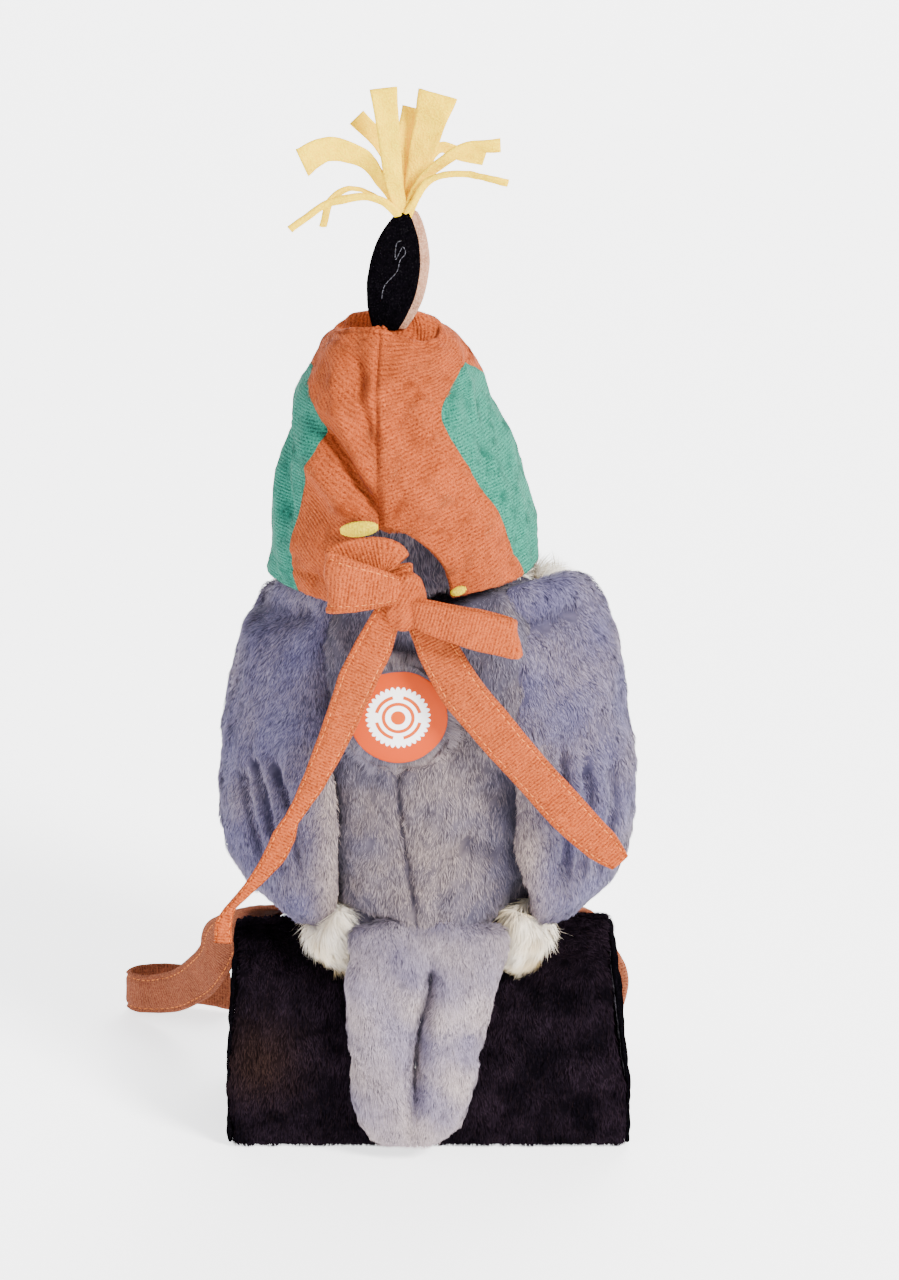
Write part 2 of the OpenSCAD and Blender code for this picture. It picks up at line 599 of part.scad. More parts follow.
// ---------- bow ----------
knot_at = [6.2, 38, 175.8];
module bow_knot() {
    color("#b5603a") hull() {
        translate(knot_at + [0, 0, 1.6]) sphere(r = 5, $fn = 32);
        translate(knot_at + [-0.6, 0, -2.4]) sphere(r = 4.6, $fn = 32);
    }
}
module bow_loop_left() {
    color("#b5603a") ring_loft([for (f = [
            [12.4, 179.4, 2.4, 3.4], [16, 181.6, 3.4, 6], [21, 183.2, 4, 8.6], [27, 183.8, 4.2, 10]])
        [for (p = steps(0, 337.5, 15)) [f[0], 37.6 + f[2] * cos(p), f[1] + f[3] * sin(p)]]]);
}
module bow_loop_right() {
    color("#b5603a") ring_loft([for (f = [
            [-25.4, 164, 1.8, 6.4], [-18, 167, 2.4, 6.6], [-8.6, 170.4, 2.3, 6], [-0.2, 173.4, 1.9, 4.4]])
        [for (p = steps(0, 337.5, 15)) [f[0], 41.6 + f[2] * cos(p), f[1] + f[3] * sin(p)]]]);
}
tie_left_path = [
    [11.6, strap_y, 170.4], [15.6, strap_y, 161], [20.6, strap_y, 149], [26.2, strap_y, 134],
    [30.4, strap_y, 125], [33.8, strap_y + 0.4, 118], [37.8, strap_y + 1, 109.4],
    [43.6, strap_y + 1.4, 97.4], [49.6, strap_y + 1.2, 90.6], [55.6, strap_y + 1, 83.4],
    [59, strap_y + 1, 76], [60.4, strap_y + 1, 69.6]
];
tie_left_sides = [
    [1, 0, 0.4], [1, 0, 0.4], [1, 0, 0.38], [1, 0, 0.38],
    [1, 0, 0.42], [1, 0, 0.5], [1, 0.1, 0.5],
    [0.9, 0, 0.7], [0.8, 0, 1], [0.8, 0, 0.9],
    [1, 0, 0.5], [1, 0, 0.2]
];
tie_right_path = [
    [1.4, strap_y - 1.6, 168.8], [-3.4, strap_y - 1.4, 159.6], [-9.4, strap_y - 0.7, 149], [-17.6, strap_y, 138.6],
    [-26.2, strap_y, 128], [-34.8, strap_y, 117.8], [-43.4, strap_y, 108], [-50, strap_y, 101.6], [-55, strap_y, 97]
];
tie_right_sides = [for (p = tie_right_path) [1, 0, -0.8]];
module tie_left() { color("#b5603a") strap(tie_left_path, tie_left_sides, strap_w * 0.86, strap_t); }
module tie_right() { color("#b5603a") strap(tie_right_path, tie_right_sides, strap_w, strap_t); }
module tie_tacks() {
    color("#e8d13a") {
        translate([19.6, 32.4, 196.6]) rotate([0, 8, 0]) cube([9.6, 1.8, 3.4], center = true);
        translate([-9.6, 33.2, 177]) rotate([0, -24, 0]) cube([4.4, 1.6, 2.2], center = true);
    }
}

// ---------- wings ----------
wing_zs = concat(steps(wing_low, 148, 9), [152.6, 157, wing_high]);
// Share of the full thickness across the wing, from its front edge to its rear edge.
function plump(v) = 0.5 + 0.5 * pow(max(sin(180 * v), 0), 0.6);
function wing_point(z, v, depth, raise) = let (f = at(wing_form, z), p = wing_front + (f[4] - wing_front) * v,
        t = depth + raise * f[3] * plump(v))
    oval(0, f[0], f[1] + t, f[2] + t * 0.62, p, z);
function wing_grid(depth, raise) =
    [for (z = wing_zs) [for (v = steps(0, 1, 10)) wing_point(z, v, depth, raise)]];
// The space that a wing takes up, with a margin.
module wing_clearance(extra) {
    for (drop = [0, extra / 2]) translate([0, 0, -drop]) thick_patch(wing_grid(1, 1.05), wing_grid(-extra, 0));
}
module wing_cover() { thick_patch(wing_grid(0, 1), wing_grid(-cover_t, 1)); }
module wing_wadding() { thick_patch(wing_grid(-cover_t - 0.15, 1), wing_grid(1, 0)); }
module wing_lining() { thick_patch(wing_grid(0.85, 0), wing_grid(0, 0)); }
module left_wing_cover() { color("#7c7a86") wing_cover(); }
module left_wing_wadding() { color("#f6f4ee") wing_wadding(); }
module left_wing_lining() { color("#d9d5cc") wing_lining(); }
module right_wing_cover() { color("#7c7a86") x_mirrored() wing_cover(); }
module right_wing_wadding() { color("#f6f4ee") x_mirrored() wing_wadding(); }
module right_wing_lining() { color("#d9d5cc") x_mirrored() wing_lining(); }

// ---------- tail ----------
tail_zs = steps(6, 70.6, 9);
function tail_grid(depth, share) = [for (z = tail_zs) let (f = at(tail_form, z))
    [for (u = steps(1, -1, 12)) [f[0] * u, f[1] + depth + share * f[2] * (0.5 + 0.5 * sqrt(1 - u * u)), z]]];
module tail_cover() { color("#8b8992") thick_patch(tail_grid(0, 1), tail_grid(-1.6, 1)); }
module tail_wadding() { color("#f6f4ee") thick_patch(tail_grid(-1.75, 1), tail_grid(1.05, 0)); }
module tail_lining() { color("#efe9da") thick_patch(tail_grid(0.9, 0), tail_grid(0, 0)); }

// ---------- output ----------
cuff_plush();
cuff_padding();
cuff_lining();
cuff_bindings();
back_panel_left();
back_panel_right();
belly_panel();
crown_panel();
face_panel();
stuffing();
neck_ruff();
beak();
cere();
eyes();
eye_washers();
thighs();
left_foot();
right_foot();
claws();
left_jess();
right_jess();
module_case();
module_cover();
circuit_board();
speaker_frame();
speaker_cone();
battery_cells();
battery_contacts();
battery_door();
door_screw();
case_screws();
speaker_leads();
button_spring();
button_cap();
press_patch();
press_sticker();
hood_back_left();
hood_back_right();
hood_side_left();
hood_side_right();
hood_front();
crest_tab_back();
crest_tab_front();
crest_plume();
bow_knot();
bow_loop_left();
bow_loop_right();
tie_left();
tie_right();
tie_tacks();
left_wing_cover();
left_wing_lining();
left_wing_wadding();
right_wing_cover();
right_wing_lining();
right_wing_wadding();
tail_cover();
tail_lining();
tail_wadding();
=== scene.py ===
"""Looks of a hooded plush falcon on an arm cuff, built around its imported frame. Lengths are in millimetres."""
import json
import math

import bmesh
import bpy
import numpy as np
from mathutils import Matrix, Vector
from mathutils.bvhtree import BVHTree


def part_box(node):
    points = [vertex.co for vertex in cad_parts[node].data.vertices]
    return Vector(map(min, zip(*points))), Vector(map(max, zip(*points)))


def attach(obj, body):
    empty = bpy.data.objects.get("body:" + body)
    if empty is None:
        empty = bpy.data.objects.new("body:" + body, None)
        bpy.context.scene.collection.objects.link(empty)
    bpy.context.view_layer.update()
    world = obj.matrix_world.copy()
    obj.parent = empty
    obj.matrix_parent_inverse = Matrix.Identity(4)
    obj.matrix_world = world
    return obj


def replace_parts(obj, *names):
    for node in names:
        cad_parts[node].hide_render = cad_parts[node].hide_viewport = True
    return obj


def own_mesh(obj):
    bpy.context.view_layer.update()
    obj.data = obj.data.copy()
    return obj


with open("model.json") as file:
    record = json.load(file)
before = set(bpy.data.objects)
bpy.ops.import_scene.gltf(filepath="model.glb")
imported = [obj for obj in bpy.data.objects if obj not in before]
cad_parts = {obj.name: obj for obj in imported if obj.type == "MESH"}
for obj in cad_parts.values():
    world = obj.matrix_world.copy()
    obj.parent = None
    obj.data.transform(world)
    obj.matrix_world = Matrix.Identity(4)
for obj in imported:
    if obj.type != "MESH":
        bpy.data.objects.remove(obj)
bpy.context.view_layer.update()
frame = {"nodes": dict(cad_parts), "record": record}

MM = 0.001
DOWN = np.array([0.0, 0.0, -1.0])
NECK = np.array([5.7, -8.0, 164.5])      # origin of the head's own frame
HEAD_LEAN, HEAD_TURN = 4, -9             # degrees
HEM, HOOD_TOP = 8, 82                    # heights above the neck where the hood begins and ends
TAPE_T, STRAP_W = 1.8, 13                # thickness of the tapes, width of the foot straps
HOOD_T, TAB_T = 1.6, 1.6                 # thickness of the hood's cloth and of the tab's black felt
GREEN_TOP, BEAK_TOP = 70.4, 29           # heights above the neck where the green and the beak's gap end
BUTTON = np.array([8.4, 0, 138])         # centre of the button's axis, which runs along Y
SEAM = (2.3, 1.7, 0.36)                  # spacing, length and width of the stitches on tapes


# ---------- numbers ----------
def unit(v):
    return v / np.maximum(np.linalg.norm(v, axis=-1, keepdims=True), 1e-9)


def dot(a, b):
    return np.sum(a * b, axis=-1, keepdims=True)


def bell(distance, width):
    return np.exp(-(distance / width) ** 2)


def noise(p, size, seed, waves=7):
    """Smooth noise of about -1 to 1 whose bumps are size across."""
    r = np.random.default_rng(seed)
    total = np.zeros(p.shape[:-1])
    for _ in range(waves):
        direction = unit(r.normal(size=3)) * 2 * math.pi / (size * r.uniform(1.1, 2.4))
        total += np.sin(p @ direction + r.uniform(0, 6.28))
    return total / math.sqrt(waves)


def spline(points, spacing):
    """A smooth curve through points, and where each of its points lies among them."""
    p = np.array(points, float)
    ends = np.vstack([2 * p[0] - p[1], p, 2 * p[-1] - p[-2]])
    place = []
    for i in range(len(p) - 1):
        steps = max(2, int(np.linalg.norm(p[i + 1] - p[i]) / spacing))
        place += [i + k / steps for k in range(steps)]
    place = np.array(place + [len(p) - 1])
    i = np.minimum(place.astype(int), len(p) - 2)
    t = (place - i)[:, None]
    a, b, c, d = ends[i], ends[i + 1], ends[i + 2], ends[i + 3]
    curve = b + 0.5 * t * (c - a + t * (2 * a - 5 * b + 4 * c - d + t * (3 * (b - c) + d - a)))
    return curve, place


def off_line(p, line):
    """Distance in the X-Z plane to a line through (x, z) points, and the share of the line passed there."""
    flat, line = p[..., [0, 2]], np.array(line, float)
    best, share = np.full(p.shape[:-1], 1e9), np.zeros(p.shape[:-1])
    for i in range(len(line) - 1):
        along = line[i + 1] - line[i]
        t = np.clip((flat - line[i]) @ along / (along @ along), 0, 1)
        away = np.linalg.norm(flat - line[i] - t[..., None] * along, axis=-1)
        share = np.where(away < best, (i + t) / (len(line) - 1), share)
        best = np.minimum(best, away)
    return best, share


def travelled(path):
    """How far along path each of its points is."""
    return np.concatenate([[0], np.cumsum(np.linalg.norm(np.diff(path, axis=0), axis=1))])


def between(rows, at, place):
    """Rows of three numbers, given at the places at, read off at place."""
    return np.stack([np.interp(place, at, np.asarray(rows, float)[:, k]) for k in range(3)], -1)


def crease(p, line, depth, width):
    """How far each point sinks into a stitched or folded line that fades out at both ends."""
    away, share = off_line(p, line)
    fade = np.clip(np.minimum(share, 1 - share) * 6, 0.25, 1)
    return depth * fade * bell(away, width)


# ---------- meshes ----------
def new_object(name, points, faces, material=None):
    mesh = bpy.data.meshes.new(name)
    mesh.from_pydata((np.asarray(points, float) * MM).tolist(), [], faces)
    mesh.polygons.foreach_set("use_smooth", [True] * len(mesh.polygons))
    obj = bpy.data.objects.new(name, mesh)
    bpy.context.scene.collection.objects.link(obj)
    if material:
        mesh.materials.append(material)
    return obj


def grid_faces(rows, cols, around=False, first=0):
    i, j = np.meshgrid(np.arange(rows - 1), np.arange(cols if around else cols - 1), indexing="ij")
    k = (j + 1) % cols
    quads = np.stack([i * cols + j, i * cols + k, (i + 1) * cols + k, (i + 1) * cols + j], -1)
    return (quads.reshape(-1, 4) + first).tolist()


def get_points(obj):
    co = np.zeros(len(obj.data.vertices) * 3, np.float32)
    obj.data.vertices.foreach_get("co", co)
    return co.reshape(-1, 3).astype(float) / MM


def set_points(obj, p):
    obj.data.vertices.foreach_set("co", (p * MM).astype(np.float32).ravel())
    obj.data.update()


def get_normals(obj):
    n = np.zeros(len(obj.data.vertices) * 3, np.float32)
    obj.data.vertex_normals.foreach_get("vector", n)
    return n.reshape(-1, 3).astype(float)


def set_value(obj, name, values):
    """One number at each point of the mesh, which the materials read."""
    layer = obj.data.attributes.get(name) or obj.data.attributes.new(name, "FLOAT", "POINT")
    layer.data.foreach_set("value", np.asarray(values, np.float32).ravel())


def weld(obj):
    bm = bmesh.new()
    bm.from_mesh(obj.data)
    bmesh.ops.remove_doubles(bm, verts=bm.verts, dist=1e-7)
    bmesh.ops.recalc_face_normals(bm, faces=bm.faces)
    bm.to_mesh(obj.data)
    bm.free()
    return obj


def evaluated(obj):
    """Bakes an object's modifiers into its mesh."""
    mesh = bpy.data.meshes.new_from_object(obj.evaluated_get(bpy.context.evaluated_depsgraph_get()))
    obj.modifiers.clear()
    obj.data = mesh
    return obj


def skin_around(name, nodes, voxel, rounds, material):
    """One closed, even skin around CAD nodes, with their facets smoothed away."""
    bm = bmesh.new()
    for node in nodes:
        bm.from_mesh(frame["nodes"][node].data)
    bmesh.ops.remove_doubles(bm, verts=bm.verts, dist=1e-6)
    obj = new_object(name, [(0, 0, 0)], [])
    bm.to_mesh(obj.data)
    bm.free()
    remesh = obj.modifiers.new("skin", "REMESH")
    remesh.mode = "VOXEL"
    remesh.voxel_size = voxel * MM
    soften = obj.modifiers.new("soften", "SMOOTH")
    soften.iterations = rounds
    evaluated(obj)
    obj.data.materials.clear()
    obj.data.materials.append(material)
    obj.data.polygons.foreach_set("use_smooth", [True] * len(obj.data.polygons))
    return obj


def sheet_mesh(name, grid, thickness, material, values=None):
    """A closed sheet with a rounded rim. grid is its outer face, rows by columns by 3."""
    rows, cols, _ = grid.shape
    normal = unit(np.cross(np.gradient(grid, axis=1), np.gradient(grid, axis=0)))
    inner = grid - normal * thickness
    middle = (grid + inner) / 2

    def padded(face):
        full = np.zeros((rows + 2, cols + 2, 3))
        full[1:-1, 1:-1] = face
        rim = middle + 0
        out = 0.4 * thickness
        full[0, 1:-1] = rim[0] + unit(rim[0] - rim[1]) * out
        full[-1, 1:-1] = rim[-1] + unit(rim[-1] - rim[-2]) * out
        full[1:-1, 0] = rim[:, 0] + unit(rim[:, 0] - rim[:, 1]) * out
        full[1:-1, -1] = rim[:, -1] + unit(rim[:, -1] - rim[:, -2]) * out
        for r, c in ((0, 0), (0, -1), (-1, 0), (-1, -1)):
            near = (1 if r == 0 else -2, 1 if c == 0 else -2)
            full[r, c] = (full[near[0], c] + full[r, near[1]]) / 2
        return full.reshape(-1, 3)

    quads = grid_faces(rows + 2, cols + 2)
    count = (rows + 2) * (cols + 2)
    flipped = [[i + count for i in reversed(q)] for q in quads]
    obj = new_object(name, np.vstack([padded(grid), padded(inner)]), quads + flipped, material)
    for key, value in (values or {}).items():
        wide = np.pad(value, 1, mode="edge").ravel()
        set_value(obj, key, np.concatenate([wide, wide]))
    return weld(obj)


def ring_mesh(name, rings, material):
    """A closed solid through rings of points, rows by columns by 3, with its ends closed to a point."""
    rows, cols, _ = rings.shape
    points = np.vstack([rings.reshape(-1, 3), rings[0].mean(0), rings[-1].mean(0)])
    faces = grid_faces(rows, cols, around=True)
    low, high = rows * cols, rows * cols + 1
    faces += [[(j + 1) % cols, j, low] for j in range(cols)]
    faces += [[(rows - 1) * cols + j, (rows - 1) * cols + (j + 1) % cols, high] for j in range(cols)]
    return new_object(name, points, faces, material)


def finish_piece(obj, body, slot, *nodes):
    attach(obj, body)
    if nodes:
        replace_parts(obj, *nodes)
    return obj


def core(name, skin, depth, body, *nodes):
    """The fibre filling under a skin: depth below it, or less than half way through where it is thin."""
    obj = bpy.data.objects.new(name, skin.data.copy())
    bpy.context.scene.collection.objects.link(obj)
    remesh = obj.modifiers.new("closed", "REMESH")
    remesh.mode = "VOXEL"
    remesh.voxel_size = 1.4 * MM
    remesh.use_smooth_shade = True
    evaluated(obj)
    p, n = get_points(obj), get_normals(obj)
    tree = BVHTree.FromPolygons(p.tolist(), [face.vertices[:] for face in obj.data.polygons])
    through = [tree.ray_cast(Vector(at), Vector(way), 4 * depth)[3] for at, way in zip(p - 0.05 * n, -n)]
    room = np.array([4 * depth if away is None else away for away in through])
    set_points(obj, p - n * np.minimum(depth + 0.4 * noise(p, 5, len(name)), 0.42 * room)[:, None])
    obj.modifiers.new("soften", "SMOOTH").iterations = 3
    evaluated(obj)
    obj.data.materials.clear()
    obj.data.materials.append(FIBRE)
    finish_piece(obj, body, "wadding", *nodes)


# ---------- materials ----------
class Look:
    """A Principled material under construction."""

    def __init__(self, name, roughness, sheen=0.0, sheen_tint=(1, 1, 1), metallic=0.0, coat=0.0):
        self.material = bpy.data.materials.new(name)
        self.material.use_nodes = True
        self.tree = self.material.node_tree
        self.shader = self.tree.nodes["Principled BSDF"]
        self.shader.inputs["Roughness"].default_value = roughness
        self.shader.inputs["Metallic"].default_value = metallic
        self.shader.inputs["Sheen Weight"].default_value = sheen
        self.shader.inputs["Sheen Roughness"].default_value = 0.45
        self.shader.inputs["Sheen Tint"].default_value = (*sheen_tint, 1)
        self.shader.inputs["Coat Weight"].default_value = coat
        self.shader.inputs["Coat Roughness"].default_value = 0.12

    def node(self, kind, **settings):
        made = self.tree.nodes.new("ShaderNode" + kind)
        for key, value in settings.items():
            setattr(made, key, value)
        return made

    def link(self, source, target):
        self.tree.links.new(source, target)

    def place(self):
        return self.node("TexCoord").outputs["Object"]

    def value(self, name):
        return self.node("Attribute", attribute_name=name).outputs["Fac"]

    def noise(self, size, detail=3.0, low=0.35, high=0.65):
        """Noise whose features are size millimetres across, stretched to fill 0 to 1."""
        texture = self.node("TexNoise")
        texture.inputs["Scale"].default_value = 1 / (size * MM)
        texture.inputs["Detail"].default_value = detail
        self.link(self.place(), texture.inputs["Vector"])
        return self.spread(texture.outputs["Fac"], low, high)

    def spread(self, source, low, high, to_low=0.0, to_high=1.0):
        ranged = self.node("MapRange")
        for key, value in zip(("From Min", "From Max", "To Min", "To Max"), (low, high, to_low, to_high)):
            ranged.inputs[key].default_value = value
        self.link(source, ranged.inputs["Value"])
        return ranged.outputs["Result"]

    def math(self, operation, a, b=None):
        made = self.node("Math", operation=operation)
        for socket, value in zip(made.inputs, (a, b)):
            if isinstance(value, (int, float)):
                socket.default_value = value
            elif value is not None:
                self.link(value, socket)
        return made.outputs[0]

    def mix(self, share, a, b):
        """A colour share of the way from a to b; each is a colour or another node's output."""
        made = self.node("Mix", data_type="RGBA")
        for socket, value in ((made.inputs[0], share), (made.inputs[6], a), (made.inputs[7], b)):
            if isinstance(value, tuple):
                socket.default_value = (*value, 1)
            elif isinstance(value, (int, float)):
                socket.default_value = value
            else:
                self.link(value, socket)
        return made.outputs[2]

    def color(self, source):
        self.link(source, self.shader.inputs["Base Color"])

    def bump(self, height, depth, strength=0.6):
        """Relief of depth millimetres from a height of 0 to 1."""
        made = self.node("Bump")
        made.inputs["Strength"].default_value = strength
        made.inputs["Distance"].default_value = depth * MM
        self.link(height, made.inputs["Height"])
        self.link(made.outputs["Normal"], self.shader.inputs["Normal"])


def plush(name, root, tip, patch, other, sheen=0.06):
    """Pile whose pale tips are its own colour and whose roots are dark as painted shade down among the fibres.
    "tint" leads towards a second colour; "deep" is painted shade in creases and seams.
    """
    look = Look(name, 0.75, sheen)
    tips = look.mix(look.noise(9), tip, patch)
    tips = look.mix(look.spread(look.value("tint"), 0, 1), tips, other)
    tone = look.spread(look.value("tone"), 0, 1, 0.0, 0.5)
    tips = look.mix(tone, tips, root)
    # Painted shade: where "deep" is high the tips take the root colour.
    tips = look.mix(look.spread(look.value("deep"), 0, 1, 0.0, 0.8), tips, root)
    # Dark roots and pale tips: the dark roots are painted shade among the fibres.
    look.color(look.mix(look.spread(look.value("tip"), 0.0, 0.75), root, tips))
    look.shader.inputs["Specular IOR Level"].default_value = 0.6 * sheen
    return look.material


def velour(name, color, nap, pitch=0.0, sheen=0.10):
    """Short-nap cloth, its fine grain darker in its hollows, partly its own mottling and partly painted shade.
    With a pitch it has ribs along lines of equal "rib" value, in millimetres, paler on their crests as painted
    light and shade.
    """
    look = Look(name, 0.85, sheen, nap)
    shade = look.mix(look.noise(7, 2), color, tuple(c * 0.72 for c in color))
    grain = look.noise(0.55, 2, 0.36, 0.64)
    # Grain: darker in the hollows of the bump, partly the cloth's own mottling and partly painted shade.
    shade = look.mix(look.math("MULTIPLY", grain, 0.5), shade, nap)
    specks = look.noise(0.42, 1, 0.62, 0.70)
    shade = look.mix(look.math("MULTIPLY", specks, 0.35), shade, tuple(min(1.4 * c + 0.01, 1) for c in nap))
    height = grain
    if pitch:
        wave = look.math("SINE", look.math("MULTIPLY", look.value("rib"), 2 * math.pi / pitch))
        rib = look.spread(wave, -1, 1)
        # Ribs paler on their crests and darker between them: painted light and shade.
        shade = look.mix(look.math("MULTIPLY", rib, 0.3), shade, nap)
        height = look.math("ADD", look.math("MULTIPLY", grain, 0.6), rib)
    look.color(shade)
    look.bump(height, 0.3, 0.6)
    look.shader.inputs["Specular IOR Level"].default_value = min(0.2, sheen * 2)
    return look.material


def hard(name, color, roughness, metallic=0.0, coat=0.0, grain=0.3):
    """Moulded or pressed material with slight unevenness."""
    look = Look(name, roughness, metallic=metallic, coat=coat)
    uneven = look.noise(2.5, 4)
    look.color(look.mix(look.math("MULTIPLY", uneven, grain), color, tuple(c * 0.8 for c in color)))
    look.link(look.spread(uneven, 0, 1, roughness * 0.85, roughness * 1.15), look.shader.inputs["Roughness"])
    look.bump(uneven, 0.02, 0.25)
    return look.material


def print_film(name, ground, mark):
    """Sticker film: a coloured ground and a scalloped pale disc with plain rings, by radius and angle."""
    look = Look(name, 0.45)
    look.shader.inputs["Specular IOR Level"].default_value = 0.12
    x, z = look.value("disc_x"), look.value("disc_z")
    radius = look.math("SQRT", look.math("ADD", look.math("MULTIPLY", x, x), look.math("MULTIPLY", z, z)))
    angle = look.math("ARCTAN2", z, x)
    teeth = look.math("ABSOLUTE", look.math("SINE", look.math("MULTIPLY", angle, 17)))
    edge = look.math("ADD", 8.3, look.math("MULTIPLY", teeth, 1.0))
    disc = look.math("LESS_THAN", radius, edge)
    dot_mark = look.math("LESS_THAN", radius, 2.1)
    ring = look.math("COMPARE", radius, 4.2)
    ring.node.inputs[2].default_value = 0.5
    wave = look.math("ABSOLUTE", look.math("SINE", look.math("MULTIPLY", angle, 2)))
    arcs = look.math("GREATER_THAN", wave, 0.45)
    outer = look.math("COMPARE", radius, 6.3)
    outer.node.inputs[2].default_value = 0.5
    marks = look.math("MAXIMUM", dot_mark, look.math("MAXIMUM", ring, look.math("MULTIPLY", outer, arcs)))
    inside = look.mix(marks, (0.93, 0.92, 0.9), mark)
    look.color(look.mix(disc, ground, inside))
    return look.material


GREY = plush("grey_plush", (0.012, 0.011, 0.022), (0.20, 0.175, 0.23), (0.16, 0.14, 0.185), (0.40, 0.31, 0.28))
WING = plush("wing_plush", (0.010, 0.009, 0.026), (0.20, 0.18, 0.29), (0.145, 0.13, 0.235), (0.44, 0.34, 0.30))
TAIL = plush("tail_plush", (0.02, 0.018, 0.032), (0.38, 0.32, 0.40), (0.26, 0.22, 0.31), (0.66, 0.53, 0.48))
CREAM = plush("cream_plush", (0.62, 0.55, 0.45), (0.98, 0.94, 0.88), (0.92, 0.84, 0.70), (0.78, 0.60, 0.30))
# Black pile: its slightly paler tips are painted highlights, and its brownish second colour is a painted sheen.
BLACK = plush("black_plush", (0.001, 0.0008, 0.001), (0.016, 0.010, 0.016), (0.004, 0.003, 0.005),
              (0.030, 0.016, 0.013), 0.0)
RUST = velour("hood_rust", (0.17, 0.024, 0.004), (0.52, 0.115, 0.030), 1.15, 0.04)
TAPE = velour("bow_rust", (0.19, 0.026, 0.004), (0.55, 0.125, 0.032), 0.95, 0.04)
RUST_NAP = plush("hood_rust_nap", (0.16, 0.020, 0.003), (0.55, 0.125, 0.034), (0.36, 0.070, 0.016),
                 (0.75, 0.25, 0.10))
GREEN_NAP = plush("hood_green_nap", (0.0004, 0.045, 0.030), (0.04, 0.30, 0.20), (0.012, 0.19, 0.125),
                  (0.14, 0.46, 0.34))
THREAD = velour("thread_orange", (0.62, 0.16, 0.035), (0.85, 0.30, 0.09), 0.0, 0.02)
GREEN = velour("hood_green", (0.0005, 0.052, 0.034), (0.04, 0.30, 0.20), 0.9, 0.06)
SUEDE = velour("strap_brown", (0.11, 0.024, 0.010), (0.34, 0.11, 0.05), 0.95, 0.04)
GREY_THREAD = velour("thread_grey", (0.05, 0.05, 0.06), (0.12, 0.12, 0.14))
FELT_Y = velour("plume_felt", (1.0, 0.60, 0.0), (1.0, 0.76, 0.01), 0.0, 0.0)
FELT_K = velour("tab_black", (0.0008, 0.0007, 0.001), (0.003, 0.0022, 0.0035), 0.0, 0.0)
FELT_T = velour("tab_tan", (0.34, 0.16, 0.09), (0.55, 0.33, 0.22))
YELLOW = velour("tack_yellow", (0.85, 0.62, 0.0), (1.0, 0.85, 0.05), 0.0, 0.02)
FEET = velour("feet_yellow", (0.62, 0.34, 0.03), (0.85, 0.58, 0.14))
LINING = velour("dark_lining", (0.012, 0.010, 0.014), (0.05, 0.045, 0.055))
FIBRE = velour("fibre_filling", (0.80, 0.79, 0.75), (0.95, 0.94, 0.92))
STICKER = print_film("press_film", (0.46, 0.045, 0.0), (0.50, 0.06, 0.0))

HARD = {
    "beak": hard("beak_horn", (0.05, 0.06, 0.075), 0.32, coat=0.3),
    "cere": hard("cere_yellow", (0.70, 0.43, 0.06), 0.4),
    "eye": hard("eye_black", (0.008, 0.006, 0.005), 0.06, coat=1.0, grain=0.1),
    "eye_ring": hard("eye_ring", (0.70, 0.48, 0.08), 0.4),
    "claws": hard("claw_black", (0.012, 0.010, 0.012), 0.3, coat=0.3),
    "case_plastic": hard("case_white", (0.78, 0.78, 0.77), 0.35, grain=0.15),
    "circuit_board": hard("board_green", (0.025, 0.17, 0.05), 0.4),
    "speaker_metal": hard("speaker_steel", (0.22, 0.22, 0.23), 0.35, metallic=1.0),
    "speaker_cone": hard("cone_black", (0.012, 0.012, 0.013), 0.5),
    "cell": hard("cell_nickel", (0.62, 0.63, 0.64), 0.25, metallic=1.0),
    "contact": hard("contact_nickel", (0.55, 0.56, 0.57), 0.3, metallic=1.0),
    "screw": hard("screw_zinc", (0.42, 0.43, 0.44), 0.35, metallic=1.0),
    "wire": hard("wire_red", (0.45, 0.03, 0.02), 0.45),
    "spring": hard("spring_steel", (0.55, 0.56, 0.57), 0.3, metallic=1.0),
    "button_plastic": hard("button_red", (0.60, 0.05, 0.03), 0.3),
}


